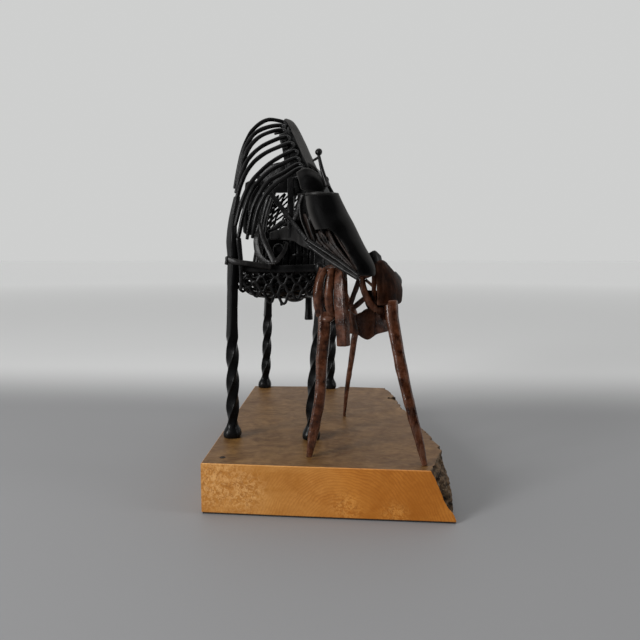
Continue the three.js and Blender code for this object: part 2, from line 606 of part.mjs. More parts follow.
piece('foal_haunch_right', rustedIron(), plate(patch([
  [[47, -131, 219], [50, -124, 224], [54, -112, 223], [58, -96, 217]],
  [[47, -134, 208], [57, -126, 211], [63, -110, 212], [66, -94, 208]],
  [[47, -135, 196], [60, -128, 196], [69, -108, 195], [71, -92, 197]],
  [[47, -134, 186], [59, -130, 185], [69, -106, 185], [70, -96, 188]],
]), PLATE, 5, 4));
piece('foal_flank_plate', rustedIron(), plate(patch([
  [[60, -86, 214], [66, -76, 213], [66, -60, 211]],
  [[66, -84, 206], [72, -72, 205], [70, -56, 204]],
  [[65, -84, 193], [71, -72, 195], [68, -58, 196]],
]), 2, 3, 3));
piece('foal_hip_tab', rustedIron(), plate(patch([
  [[39.5, -121, 231], [45.5, -122, 235], [52, -119, 228.5]],
  [[40, -120, 221], [46, -120, 220], [52, -116, 221]],
]), PLATE, 4, 2));
piece('foal_groin_plate', rustedIron(), plate(patch([
  [[21, -115, 178], [30, -118, 174], [39, -116, 180], [48, -112, 179], [57, -106, 176]],
  [[21, -115, 157], [30, -117, 156], [39, -117, 151], [48, -113, 156], [59, -106, 158]],
]), PLATE, 8, 2));
piece('foal_braces', rustedIron(), joined(...[
  [[[31, -120, 208], [35, -121, 196], [40, -121, 187], [47, -119, 178]], 5.2],
  [[[33, -120, 202], [25, -117, 184]], 3.8],
  [[[37, -120, 191], [26, -117, 179]], 4.2],
  [[[32, -120, 206], [46, -118, 201]], 2.6],
  [[[45, -119, 214], [45, -118, 200], [44, -118, 182]], 3],
].map(([route, width]) => bar({ route, width, depth: 3, steps: route.length - 1 }))));
piece('foal_back', rustedIron(), plate(patch([
  [[-1, -122, 216], [12, -124, 218], [28, -124, 220], [44, -120, 220]],
  [[-1, -104, 218], [12, -104, 221], [28, -104, 222], [46, -104, 220]],
  [[3, -70, 215], [11, -70, 216], [19, -70, 216], [27, -70, 214]],
  [[1, -30, 212], [5, -30, 213], [9, -30, 213], [14, -30, 212]],
  [[0, 8, 210], [3, 8, 211], [6, 8, 211], [10, 8, 210]],
]), PLATE, 3, 7));

// The foal's barrel: two hoops and a strap along each side, and a keel that runs under it
const foalStrap = (route, face, steps) => bar({ route, width: 5, depth: 2.5, face, steps });
piece('foal_ribs_left', rustedIron(), joined(
  foalStrap([[6, -84, 213], [-6, -85, 206], [-10, -86, 190], [-5, -85, 174], [16, -84, 165]], [-1, 0, 0], 6),
  foalStrap([[5, -44, 211], [-7, -44, 204], [-11, -44, 190], [-6, -44, 175], [10, -44, 166]], [-1, 0, 0], 6),
  foalStrap([[-9, -90, 188], [-11, -60, 190], [-9, -20, 190], [-3, -4, 190]], [-1, 0, 0], 5),
));
piece('foal_ribs_right', rustedIron(), joined(
  foalStrap([[32, -84, 214], [52, -84, 213], [60, -84, 198], [55, -84, 178], [34, -84, 165]], [1, 0, 0.2], 6),
  foalStrap([[22, -50, 213], [46, -50, 212], [54, -50, 198], [49, -50, 178], [27, -50, 167]], [1, 0, 0.2], 6),
  foalStrap([[63.5, -98, 198], [60, -70, 199], [53.2, -41, 199.5]], [1, 0, 0.1], 3),
  bar({
    route: [[38, -110, 161], [30, -70, 164], [18, -30, 164], [5, 2, 167]],
    width: 8, depth: 3, face: [0, 0, 1], steps: 5,
  }),
));
piece('foal_neck', rustedIron(), bar({
  route: [[5, 8, 203], [2, 24, 207], [-2, 40, 207]],
  width: [15, 13, 11], depth: [12, 9, 9], face: [0, 0, 1], sides: 8, steps: 5,
}));
piece('foal_head', rustedIron(), joined(
  bar({
    route: [[-2, 38, 208], [-7, 58, 200], [-12, 77, 186], [-17, 94, 173]], width: [15, 14, 11, 9],
    depth: [13, 15, 11, 8], face: [0, 0, 1], sides: 6, steps: 4,
  }),
  rod([[-6, 44, 209], [-9, 45, 219], [-10, 43, 226]], 3, 2, 4),
  rod([[3, 44, 209], [6, 45, 219], [7, 43, 226]], 3, 2, 4),
));

// Every piece is cut back from the ones before it, so that welded neighbours keep their small gap.
function boxesMeet(a, b) {
  return [0, 1, 2].every((axis) => a.min[axis] <= b.max[axis] && a.max[axis] >= b.min[axis]);
}

const placed = [];
for (const { name, material, make } of pieces) {
  const whole = make(0);
  const box = whole.boundingBox();
  const neighbours = placed.filter((other) => boxesMeet(other.box, box));
  const solid = neighbours.reduce((rest, other) => rest.subtract(other.grown), whole);
  const grown = make(WELD_GAP);
  placed.push({ grown, box: grown.boundingBox() });
  const mesh = new THREE.Mesh(geometryOf(solid), material);
  mesh.name = name;
  sculpture.add(mesh);
}

export default sculpture;
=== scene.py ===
# %% [markdown]
# # A welded iron mare and her foal on a slice of burl wood
# The sculpture is made of a smith's ordinary stock: square bar twisted hot for the legs, round rod for the
# mane, cut plate for the face, neck and haunches, and expanded metal for the belly and the rump. The foal is
# the same work, left to rust. Each piece here is made as the smith would think of it, as a section that
# travels along a route or as a sheet bent over a form, and then it gets a surface that shows hammer and fire.

# %% Load the fixed frame
import math

import bpy
import numpy as np
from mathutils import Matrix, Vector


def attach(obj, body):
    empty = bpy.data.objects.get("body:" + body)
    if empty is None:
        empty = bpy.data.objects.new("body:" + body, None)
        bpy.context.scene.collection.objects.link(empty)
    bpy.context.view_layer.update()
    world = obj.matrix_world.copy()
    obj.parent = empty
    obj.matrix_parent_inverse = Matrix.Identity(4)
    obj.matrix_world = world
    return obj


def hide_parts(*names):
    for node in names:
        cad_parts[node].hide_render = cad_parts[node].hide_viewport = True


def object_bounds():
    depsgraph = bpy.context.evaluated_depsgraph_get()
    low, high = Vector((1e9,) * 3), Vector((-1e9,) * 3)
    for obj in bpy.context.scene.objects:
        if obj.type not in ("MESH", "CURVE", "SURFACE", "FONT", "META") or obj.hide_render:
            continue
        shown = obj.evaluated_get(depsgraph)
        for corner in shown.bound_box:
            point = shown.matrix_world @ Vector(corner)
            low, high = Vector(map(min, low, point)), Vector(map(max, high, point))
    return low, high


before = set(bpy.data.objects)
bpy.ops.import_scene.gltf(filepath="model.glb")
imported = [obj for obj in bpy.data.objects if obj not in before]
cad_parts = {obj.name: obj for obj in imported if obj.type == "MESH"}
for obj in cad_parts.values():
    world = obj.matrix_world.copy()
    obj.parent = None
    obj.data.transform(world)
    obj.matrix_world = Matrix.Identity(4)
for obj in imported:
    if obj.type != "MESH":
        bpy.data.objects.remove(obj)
cad_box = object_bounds()
print("solids in the frame:", len(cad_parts))

# %% [markdown]
# ## Sizes
# Every length is written in millimetres, as on a drawing, and becomes metres only when a mesh is made. The
# mare's body lies along Y and she faces the viewer, who stands on the -Y side.

# %% The driving sizes
MM = 0.001
PAD_THICKNESS = 1.5
SLAB_THICKNESS = 45
SLAB_TOP = PAD_THICKNESS + SLAB_THICKNESS
LEG_BAR = 9.5
LEG_QUARTER_TURN = 26
TWIST_START = 60
MANE_ROD = 4.6
PLATE = 2.5
STRAND = 2.4
BODY_MIDDLE = -51
RING_HEIGHT = 216
BELLY_FRONT = -76
BELLY_REAR = 128
print("the slab's top lies at", SLAB_TOP, "mm")

# %% [markdown]
# ## The camera
# The camera stands where the photographer stood, a little above the mare's shoulder and turned slightly to
# the left. A 36 mm lens on a 36 mm sensor gives the photograph's angle of view.

# %% Place the camera
CAMERA_PLACE = (36.5, -708.4, 228.5)
CAMERA_DOWN = math.atan(0.1)
CAMERA_LEFT = math.radians(4)
CAMERA_LENS = 36


def in_scene(name, data):
    """A new object with the given data, linked into the scene."""
    thing = bpy.data.objects.new(name, data)
    bpy.context.scene.collection.objects.link(thing)
    return thing


camera_data = bpy.data.cameras.new("photo_camera")
camera_data.lens = camera_data.sensor_width = CAMERA_LENS
camera_data.clip_start = 0.01
camera = in_scene("photo_camera", camera_data)
camera.location = [c * MM for c in CAMERA_PLACE]
camera.rotation_euler = (math.radians(90) - CAMERA_DOWN, 0, CAMERA_LEFT)
bpy.context.scene.camera = camera
print("the camera stands", round(-CAMERA_PLACE[1]), "mm in front of the slab's middle")

# %% [markdown]
# ## Smooth lines
# A smith bends a bar over the anvil at a few places, and the metal makes a fair curve between them. A
# centripetal Catmull-Rom line does the same: it passes through every given point and makes no loops.

# %% Curves through a few points


def curve_points(points, t):
    """The places at the shares t (0 to 1) of a smooth line through the points."""
    p = np.asarray(points, float)
    p = np.vstack([2 * p[0] - p[1], p, 2 * p[-1] - p[-2]])
    last = len(p) - 4
    at = np.clip(np.asarray(t, float), 0, 1) * (last + 1)
    i = np.minimum(at.astype(int), last)
    w = (at - i)[:, None]
    a, b, c, d = p[i], p[i + 1], p[i + 2], p[i + 3]
    ab, bc, cd = (np.sqrt(np.linalg.norm(q - r, axis=1))[:, None] for q, r in ((a, b), (b, c), (c, d)))
    start = ((b - a) / ab - (c - a) / (ab + bc) + (c - b) / bc) * bc
    end = ((c - b) / bc - (d - b) / (bc + cd) + (d - c) / cd) * bc
    return (b * (2 * w**3 - 3 * w**2 + 1) + start * (w**3 - 2 * w**2 + w)
            + c * (3 * w**2 - 2 * w**3) + end * (w**3 - w**2))


def line_length(points):
    """The length of the smooth line through the points."""
    fine = curve_points(points, np.linspace(0, 1, 40 * len(points)))
    return np.linalg.norm(np.diff(fine, axis=0), axis=1).sum()


def even_line(points, stations):
    """The places at the given shares of the line's length."""
    fine = curve_points(points, np.linspace(0, 1, 60 * len(points)))
    run = np.concatenate([[0], np.cumsum(np.linalg.norm(np.diff(fine, axis=0), axis=1))])
    return np.stack([np.interp(np.asarray(stations) * run[-1], run, fine[:, k]) for k in range(3)], 1)


def at_shares(values, t):
    """Evenly spaced values, or one plain number, read at the shares t."""
    values = np.atleast_1d(np.asarray(values, float))
    if len(values) == 1:
        return np.full(len(t), values[0])
    return np.interp(t, np.linspace(0, 1, len(values)), values)


def unit(vectors):
    """The vectors drawn out or in to a length of 1."""
    return vectors / np.maximum(np.linalg.norm(vectors, axis=-1, keepdims=True), 1e-9)


print("a line through three bends is", round(line_length([(0, 0, 0), (50, 0, 0), (50, 50, 0)])), "mm long")

# %% [markdown]
# ## Hammer marks
# Nothing forged is quite straight or flat. Value noise, worked out for all points at once, gives soft lumps
# of a chosen size. It moves real vertices, so the marks show in the outline and in the mesh itself too.

# %% Soft lumps of a chosen size


def lumps(points, size, seed=0.0):
    """Smooth noise from -1 to 1 whose lumps are about size millimetres across."""
    q = np.asarray(points, float) / size + 17.3 + seed * 5.7
    cell = np.floor(q)
    f = q - cell
    f = f * f * (3 - 2 * f)
    total = 0.0
    for corner in np.ndindex(2, 2, 2):
        c = np.array(corner)
        share = np.prod(np.where(c == 1, f, 1 - f), axis=-1)
        wave = np.sin((cell + c) @ np.array([127.1, 311.7, 74.7])) * 43758.5453
        total = total + share * (wave - np.floor(wave))
    return 2 * total - 1


print("lumps at three places:", lumps([(0, 0, 0), (5, 0, 0), (9, 2, 4)], 6).round(2))

# %% [markdown]
# ## Bars and rods
# A bar is a section carried along its route. A superellipse serves for every section: its corner number is 2
# for a round rod and about 7 for square bar with its corners slightly worn. The ends are chamfered as a smith
# leaves them after cutting.

# %% A section along a route


def sweep(route, width, depth=None, face=(0, -1, 0), corner=2.0, around=14, spacing=2.0, twist=None,
          bevel=0.8, hammer=0.12, grain=6.0, seed=0.0):
    """The vertices and faces of a bar. face is the way its wide side looks, twist is in turns."""
    depth = width if depth is None else depth
    length = line_length(route)
    edge = min(bevel / length, 0.2)
    inner = np.linspace(edge, 1 - edge, max(3, int(length / spacing)))
    stations = np.concatenate([[0, edge * 0.3], inner, [1 - edge * 0.3, 1]])
    ends = np.concatenate([[0.72, 0.9], np.ones(len(inner)), [0.9, 0.72]])
    middle = even_line(route, stations)
    along = unit(np.gradient(middle, stations, axis=0))
    outward = np.broadcast_to(np.asarray(face(stations) if callable(face) else face, float), middle.shape)
    side = unit(np.cross(outward, along))
    front = np.cross(along, side)
    angle = np.linspace(0, 2 * np.pi, around, endpoint=False) + np.pi / around
    power = 2 / at_shares(corner, stations)[:, None]

    def superellipse(wave, size):
        return np.sign(wave) * np.abs(wave) ** power * (at_shares(size, stations) * ends / 2)[:, None]

    x, y = superellipse(np.cos(angle), width), superellipse(np.sin(angle), depth)
    turn = (2 * np.pi * twist(stations) if twist else np.zeros(len(stations)))[:, None]
    across, through = x * np.cos(turn) - y * np.sin(turn), x * np.sin(turn) + y * np.cos(turn)
    out = across[..., None] * side[:, None] + through[..., None] * front[:, None]
    rings = middle[:, None] + out
    rings = rings + unit(out) * (hammer * lumps(rings, grain, seed))[..., None]
    return closed_tube(rings, middle[0], middle[-1])


def closed_tube(rings, first, last):
    """Faces between rings of points, closed by a fan at each end."""
    steps, around = rings.shape[:2]
    vertices = np.vstack([rings.reshape(-1, 3), [first, last]])
    a = np.arange(steps - 1)[:, None] * around + np.arange(around)
    b = np.arange(steps - 1)[:, None] * around + (np.arange(around) + 1) % around
    quads = np.stack([a, a + around, b + around, b], -1).reshape(-1, 4)
    k, n = np.arange(around), (np.arange(around) + 1) % around
    top = (steps - 1) * around
    start, end = np.full(around, len(vertices) - 2), np.full(around, len(vertices) - 1)
    fans = np.vstack([np.stack([k, n, start], 1), np.stack([top + n, top + k, end], 1)])
    return vertices, quads, fans


tube = sweep([(0, 0, 0), (0, 0, 50)], 5)
print("a 50 mm rod has", len(tube[0]), "vertices")

# %% [markdown]
# ## Bent plates
# A plate starts as rows of points that it passes through. Lines are drawn along the rows and then across
# them, the middle surface is thickened both ways, and the rim is rounded over. Dents go right through the
# sheet, as they do when it is beaten over a form.

# %% A sheet bent over a form


def surface_through(rows):
    """A rule that gives the surface's points at shares u along the rows and v across them."""
    def surface(u, v):
        lines = np.stack([curve_points(row, u) for row in rows])
        return np.stack([curve_points(lines[:, k], v) for k in range(len(u))], 1)
    return surface


def normals_of(grid):
    """The way a grid of points faces at each point."""
    return unit(np.cross(np.gradient(grid, axis=1), np.gradient(grid, axis=0)))


def sheet(rows, thickness=PLATE, spacing=2.2, dent=0.35, dent_size=16.0, hammer=0.1, ragged=0.3, seed=0.0):
    """The vertices and faces of a bent plate with a rounded rim."""
    surface = surface_through(rows) if not callable(rows) else rows
    mid = np.array([0.5])
    share = np.linspace(0, 1, 30)
    wide = np.linalg.norm(np.diff(surface(share, mid)[0], axis=0), axis=1).sum()
    tall = np.linalg.norm(np.diff(surface(mid, share)[:, 0], axis=0), axis=1).sum()
    half = thickness / 2
    u = np.linspace(half / wide, 1 - half / wide, max(4, int(wide / spacing)))
    v = np.linspace(half / tall, 1 - half / tall, max(4, int(tall / spacing)))
    grid = surface(u, v)
    normal = normals_of(grid)
    grid = grid + normal * (dent * lumps(grid, dent_size, seed))[..., None]
    ring = border_of(*grid.shape[:2])
    flat, flat_normal = grid.reshape(-1, 3), normal.reshape(-1, 3)
    edge, edge_normal = flat[ring], flat_normal[ring]
    way = unit(np.roll(edge, -1, 0) - np.roll(edge, 1, 0))
    outward = np.cross(way, edge_normal)
    outward = outward * np.sign(np.sum(outward * (edge - flat.mean(0)), axis=1).mean())
    outward = outward * (1 + ragged * lumps(edge, 5, seed + 2))[:, None]
    layers = [flat + flat_normal * half]
    for degrees in (45, 0, -45):
        c, s = math.cos(math.radians(degrees)), math.sin(math.radians(degrees))
        layers.append(edge + (outward * c + edge_normal * s) * half)
    layers.append(flat - flat_normal * half)
    vertices = np.vstack(layers)
    vertices[:len(flat)] += flat_normal * (hammer * lumps(flat, 5, seed + 3))[:, None]
    return vertices, sheet_faces(grid.shape[:2], ring), np.zeros((0, 3), int)


def border_of(rows, columns):
    """The indices of a grid's border points, once round."""
    index = np.arange(rows * columns).reshape(rows, columns)
    return np.concatenate([index[0], index[1:-1, -1], index[-1, ::-1], index[-2:0:-1, 0]])


def sheet_faces(shape, ring):
    """The faces of a sheet: its front, its back and three strips round the rim."""
    rows, columns = shape
    index = np.arange(rows * columns).reshape(rows, columns)
    front = np.stack([index[:-1, :-1], index[:-1, 1:], index[1:, 1:], index[1:, :-1]], -1).reshape(-1, 4)
    n, m = rows * columns, len(ring)
    back = front[:, ::-1] + n + 3 * m
    loops = [ring, n + np.arange(m), n + m + np.arange(m), n + 2 * m + np.arange(m), ring + n + 3 * m]
    rim = [np.stack([a, b, np.roll(b, -1), np.roll(a, -1)], 1) for a, b in zip(loops[:-1], loops[1:])]
    return np.vstack([front, back, *rim])


square = sheet([[(0, 0, 0), (40, 0, 0)], [(0, 0, 40), (40, 0, 40)]])
print("a 40 mm square of plate has", len(square[1]), "faces")

# %% [markdown]
# ## Expanded metal
# Expanded metal is slit and pulled open: each strand zigzags, and touches the next one at its knuckles. So
# each strand here is its own swept bar, which lies on the surface of the belly and shares its knuckles with
# its two neighbours.

# %% Zigzag strands on a surface


def expanded_metal(rows, cells_across, cells_along, strand=1.9, thickness=STRAND, knuckle=0.16, lean=0.0,
                   seed=0.0):
    """One swept strand for each zigzag. lean shifts the knuckles sideways from row to row, in cells."""
    surface = surface_through(rows)
    halves_across, halves_along = 2 * cells_across, 2 * cells_along
    step = 0.01

    def spot(a, b):
        return surface(np.array([a]), np.array([b]))[0, 0]

    strands = []
    for k in range(halves_along):
        u, v = [], []
        for i in range(-math.ceil(abs(lean) * halves_along), halves_across + 1):
            j = k if (i + k) % 2 else k + 1
            for shift in (-knuckle, knuckle):
                u.append((i + shift + lean * j) / halves_across)
                v.append(j / halves_along)
        u, v = np.clip(u, 0, 1), np.clip(v, 0, 1)
        keep = np.concatenate([[True], np.abs(np.diff(u)) > 1e-6])
        corners = list(zip(u[keep], v[keep]))
        points = np.array([spot(a, b) for a, b in corners])
        du = np.array([spot(min(a + step, 1), b) - spot(max(a - step, 0), b) for a, b in corners])
        dv = np.array([spot(a, min(b + step, 1)) - spot(a, max(b - step, 0)) for a, b in corners])
        facing = unit(np.cross(du, dv))
        share = np.linspace(0, 1, len(points))
        face = lambda t, f=facing, s=share: np.stack([np.interp(t, s, f[:, m]) for m in range(3)], 1)
        strands.append(sweep(points, strand, thickness, face=face, corner=4, around=8, spacing=2.2, bevel=0.5,
                             hammer=0.25, grain=4, seed=seed + k))
    return strands


patch = expanded_metal([[(0, 0, 0), (40, 0, 0)], [(0, 0, 40), (40, 0, 40)]], 2, 2)
print("a 40 mm square of expanded metal has", len(patch), "strands")

# %% [markdown]
# ## Welds
# A weld is a short bead of metal laid across a joint in small overlapping ripples. A ripple is a swell in the
# width of a short round bar, and a spatter of lumps keeps two beads from looking alike.

# %% Beads and blobs


def weld(start, end, size=3.4, seed=0.0):
    """A rippled bead from one point to another."""
    start, end = np.asarray(start, float), np.asarray(end, float)
    ripples = max(2, int(np.linalg.norm(end - start) / 1.6))
    t = np.linspace(0, 1, 6 * ripples)
    width = size * (0.82 + 0.18 * np.abs(np.sin(np.pi * ripples * t)))
    sag = (start + end) / 2 + np.array([0.3, -0.2, -0.2]) * size * 0.3
    return sweep([start, sag, end], width, face=(0.3, 1, 0.2), around=10, spacing=0.5, bevel=size * 0.35,
                 hammer=0.4, grain=2.4, seed=seed)


def blob(place, size=4.0, stretch=(1, 1, 1), seed=0.0, rough=0.12):
    """A lump of weld metal or a forged ball."""
    around, levels = 18, 12
    polar = np.linspace(0.12, np.pi - 0.12, levels)[:, None]
    angle = np.linspace(0, 2 * np.pi, around, endpoint=False)
    rings = np.stack([np.sin(polar) * np.cos(angle), np.sin(polar) * np.sin(angle),
                      np.cos(polar) * np.ones(around)], -1)
    swell = 1 + rough * lumps(rings * size / 2 + np.asarray(place, float), size * 0.6, seed)
    rings = rings * swell[..., None] * size / 2 * np.asarray(stretch, float) + np.asarray(place, float)
    poles = rings.mean(axis=1)
    return closed_tube(rings[::-1], poles[-1], poles[0])


print("a 10 mm weld has", len(weld((0, 0, 0), (10, 0, 0))[0]), "vertices")

# %% [markdown]
# ## From shells to pieces
# A piece is one or more closed shells in one mesh. It rides on the body and stands for its solid in the
# frame.
# It is given a slot name, which is also its finish unless another finish is named.

# %% Make a named piece
finishes = {}
made = {}
wears = {}


def inside_frame(points):
    """Points in metres, held inside the box of the solids."""
    return np.clip(points, cad_box[0], cad_box[1])


def facing_out(shell):
    """The shell with its faces turned so that they look out of the metal."""
    vertices, quads, fans = shell
    corners = vertices[np.vstack([quads[:, [0, 1, 2]], quads[:, [0, 2, 3]], fans]).astype(int)]
    volume = np.sum(corners[:, 0] * np.cross(corners[:, 1], corners[:, 2]))
    return shell if volume > 0 else (vertices, quads[:, ::-1], fans[:, ::-1])


def new_mesh(name, shells):
    """One smooth mesh from closed shells given in millimetres."""
    shells = [facing_out(shell) for shell in shells]
    vertices = inside_frame(np.vstack([s[0] for s in shells]) * MM)
    starts = np.cumsum([0] + [len(s[0]) for s in shells[:-1]])
    quads = np.vstack([s[1] + k for s, k in zip(shells, starts)])
    fans = np.vstack([s[2] + k for s, k in zip(shells, starts)])
    mesh = bpy.data.meshes.new(name)
    mesh.vertices.add(len(vertices))
    mesh.vertices.foreach_set("co", vertices.ravel())
    corners = np.concatenate([quads.ravel(), fans.ravel()]).astype(np.int32)
    mesh.loops.add(len(corners))
    mesh.loops.foreach_set("vertex_index", corners)
    sizes = np.concatenate([np.full(len(quads), 4), np.full(len(fans), 3)])
    mesh.polygons.add(len(sizes))
    mesh.polygons.foreach_set("loop_start", np.concatenate([[0], np.cumsum(sizes)[:-1]]).astype(np.int32))
    mesh.polygons.foreach_set("loop_total", sizes.astype(np.int32))
    mesh.update(calc_edges=True)
    mesh.validate()
    mesh.shade_smooth()
    return mesh


def place_piece(name, mesh, nodes):
    """Links a mesh as a piece of the sculpture that stands for the named solids."""
    piece = in_scene(name, mesh)
    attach(piece, "root")
    if nodes:
        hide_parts(*nodes)
    made[name] = piece
    return piece


def forge(node, slot, *shells, finish=None):
    """A piece that takes a solid's place."""
    piece = place_piece(node + "_forged", new_mesh(node + "_forged", shells), [node])
    wears[piece.name] = finish or slot
    return piece


def trim(name, slot, *shells, finish=None):
    """A small piece that has no solid of its own."""
    piece = place_piece(name, new_mesh(name, shells), [])
    wears[piece.name] = finish or slot


def plain_mesh(name, points, faces):
    """A flat-shaded mesh from points in metres and faces."""
    mesh = bpy.data.meshes.new(name)
    mesh.from_pydata(points, [], faces)
    mesh.update()
    return mesh


def count_pieces(after):
    """Tells how many pieces there are once a part of the sculpture is made."""
    print("pieces after", after + ":", len(made))


count_pieces("the helpers")


# %% [markdown]
# ## The slab
# The base is a thick slice of burl with three sawn edges and one live edge. Its outline is a ring of points,
# each with a number that says how far the foot of the bark stands out there. The ring is drawn again at many
# heights, and on the live edge ridges of bark are cut into it.

# %% The slab's outline
SLAB_OUTLINE = [
    (-107, -167.5, 0), (-40, -170, 0), (30, -172, 0), (94, -174, 22.6),
    (103, -150, 13), (112, -107, 4), (106, -72, 5), (100, -40, 6), (93, 0, 5), (86, 45, 4),
    (79.6, 95, 2), (69, 106, 1), (79, 113, 2), (74, 138, 2), (65.5, 169, 1),
    (3, 174.6, 0), (-2, 163, 0), (-7, 173.5, 0), (-60, 171.5, 0), (-116.6, 169.8, 0),
    (-112.5, 29, 0), (-110, -70, 0),
]
BARK_FIRST, BARK_LAST = 3, 14
BARK_PROFILE = [1, 0.9, 0.66, 0.5, 0.4, 0.27, 0.15, 0]
BARK_BULGE = 6.5
BULGE_PROFILE = [0, 0, 0.8, 1, 1, 0.95, 0.8, 0.4, 0]
BULGE_FRONT, BULGE_BACK = -171, -112
BULGE_FADE_FRONT, BULGE_FADE_BACK = 3, 30
BARE_HEIGHT, BARE_FRONT, BARE_BACK = 9, -174, -138


def slab_ring(spacing=1.2):
    """The outline once round: points, foot spread, and whether each stretch is bark."""
    points, bark = [], []
    for k, start in enumerate(SLAB_OUTLINE):
        end = SLAB_OUTLINE[(k + 1) % len(SLAB_OUTLINE)]
        steps = max(1, int(math.dist(start[:2], end[:2]) / spacing))
        for i in range(steps):
            points.append(np.add(start, np.subtract(end, start) * i / steps))
            bark.append(BARK_FIRST <= k < BARK_LAST)
    return np.array(points, float), np.array(bark)


ring_points, ring_is_bark = slab_ring()
print("points round the slab:", len(ring_points), "of them bark:", int(ring_is_bark.sum()))

# %% [markdown]
# Bark splits into long plates with deep cracks between them. Two sizes of noise, stretched along the trunk,
# give plates and cracks, and the relief fades out where bark meets the sawn faces.

# %% The slab's mesh
PLATE_SIZE, PLATE_RELIEF = 7, 2.2
CRACK_SIZE, CRACK_DEPTH, CRACK_LEVEL = 4.5, 3.2, 0.72
CRUST_SIZE, CRUST_RELIEF = 2.2, 0.9
BARK_EDGE = 6


def bark_relief(place):
    """How far the bark is cut back, in millimetres, at each place."""
    along_trunk = place * np.array([1, 0.45, 1])
    plates = 0.5 + 0.5 * lumps(along_trunk, PLATE_SIZE, 3)
    cracks = 1 - np.abs(lumps(along_trunk, CRACK_SIZE, 5))
    crust = 0.5 + 0.5 * lumps(place, CRUST_SIZE, 7)
    open_cracks = np.clip(cracks - CRACK_LEVEL, 0, 1) / (1 - CRACK_LEVEL)
    return PLATE_RELIEF * plates + CRACK_DEPTH * open_cracks + CRUST_RELIEF * crust


def slab_shell(bottom, top, inset=0.0, chamfer=0.7, level_step=1.2):
    """The slab's outline drawn at many heights, with the bark's spread, bulge and relief."""
    steps = max(2, int((top - bottom) / level_step))
    heights = np.concatenate([[bottom], np.linspace(bottom + chamfer, top - chamfer, steps), [top]])
    tuck = np.concatenate([[chamfer], np.zeros(steps), [chamfer]]) + inset
    xy, spread = ring_points[:, :2], ring_points[:, 2]
    share = np.clip((heights - PAD_THICKNESS) / SLAB_THICKNESS, 0, 1)
    out = at_shares(BARK_PROFILE, share)[:, None] * spread
    window = np.clip(np.minimum((xy[:, 1] - BULGE_FRONT) / BULGE_FADE_FRONT,
                                (BULGE_BACK - xy[:, 1]) / BULGE_FADE_BACK), 0, 1)
    out = out + BARK_BULGE * at_shares(BULGE_PROFILE, share)[:, None] * window * ring_is_bark
    x = xy[:, 0] + out
    y = np.broadcast_to(xy[:, 1], x.shape)
    z = np.broadcast_to(heights[:, None], x.shape)
    rings = np.stack([x, y, z], -1)
    way = np.roll(xy, -1, 0) - np.roll(xy, 1, 0)
    inward = unit(np.stack([-way[:, 1], way[:, 0], np.zeros(len(xy))], -1))
    near = np.array([np.min(np.linalg.norm(xy[~ring_is_bark] - p, axis=1)) if b else 0
                     for p, b in zip(xy, ring_is_bark)])
    strength = np.clip(near / BARK_EDGE, 0, 1) ** 1.3
    cut = bark_relief(rings) * strength + tuck[:, None] * (1 - 0.5 * strength)
    saw = 0.06 * lumps(rings, 14, 1) * (1 - strength)
    return rings + inward * (cut + saw)[..., None]


def slab_mesh(name, bottom, top, inset=0.0):
    """A mesh between two heights of the slab, with its number of levels and of points in a level."""
    rings = slab_shell(bottom, top, inset)
    levels, count = rings.shape[:2]
    vertices = [tuple(p) for p in inside_frame(rings.reshape(-1, 3) * MM)]
    a = np.arange(levels - 1)[:, None] * count + np.arange(count)
    b = np.arange(levels - 1)[:, None] * count + (np.arange(count) + 1) % count
    walls = np.stack([a, b, b + count, a + count], -1).reshape(-1, 4)
    faces = [tuple(int(i) for i in f) for f in walls]
    faces.append(tuple(range(count - 1, -1, -1)))
    faces.append(tuple(range((levels - 1) * count, levels * count)))
    return plain_mesh(name, vertices, faces), levels, count


def finish_slab():
    """Gives each face of the slab its wood: 0 polished top, 1 sawn, 2 bark."""
    mesh, levels, count = slab_mesh("burl_slab", PAD_THICKNESS, SLAB_TOP)
    height = np.array([vertex.co.z for vertex in mesh.vertices]).reshape(levels, count)[:-1] / MM
    fading = np.interp(ring_points[:, 1], [BARE_FRONT, BARE_BACK], [BARE_HEIGHT, -BARE_HEIGHT / 4])
    ragged = lumps(ring_points * np.array([1, 1, 0]), 3, 4)
    bare = height < PAD_THICKNESS + fading + 1.8 * ragged
    wood = np.ones(len(mesh.polygons), int)
    wood[:(levels - 1) * count] = np.where(ring_is_bark & ~bare, 2, 1).ravel()
    wood[-1] = 0
    smooth = np.zeros(len(mesh.polygons), bool)
    smooth[:(levels - 1) * count] = np.tile(ring_is_bark, levels - 1)
    mesh.polygons.foreach_set("material_index", wood)
    mesh.polygons.foreach_set("use_smooth", smooth)
    return place_piece("burl_slab", mesh, ["base_slab"])


slab = finish_slab()
felt_mesh = slab_mesh("felt_sheet", 0, PAD_THICKNESS, 1.0)[0]
felt = place_piece("felt_sheet", felt_mesh, ["base_pad"])
print("the slab has", len(slab.data.polygons), "faces")

# %% [markdown]
# A small dowel plug sits in the top near the front left corner, with a dark ring of glue round it.

# %% The plug in the slab
PLUG_PLACE = (-91.2, -150.3)
PLUG_SIZE = 3.8
GLUE_RADIUS = 2.3


def plug():
    """The dowel's domed end and the glue round it."""
    x, y = PLUG_PLACE
    turns = np.linspace(0, 2 * math.pi, 17)[:-1]
    ring = [(x + GLUE_RADIUS * math.cos(a), y + GLUE_RADIUS * math.sin(a), SLAB_TOP) for a in turns]
    glue = sweep([*ring, ring[0]], 0.8, face=(0, 0, 1), around=8, spacing=0.8, bevel=0.2, hammer=0.05)
    trim("plug_ring", "black_iron", glue, finish="soot_iron")
    trim("plug_head", "grey_iron", blob((x, y, SLAB_TOP - 0.2), PLUG_SIZE, (1, 1, 0.25), rough=0.03))


plug()
count_pieces("the slab")

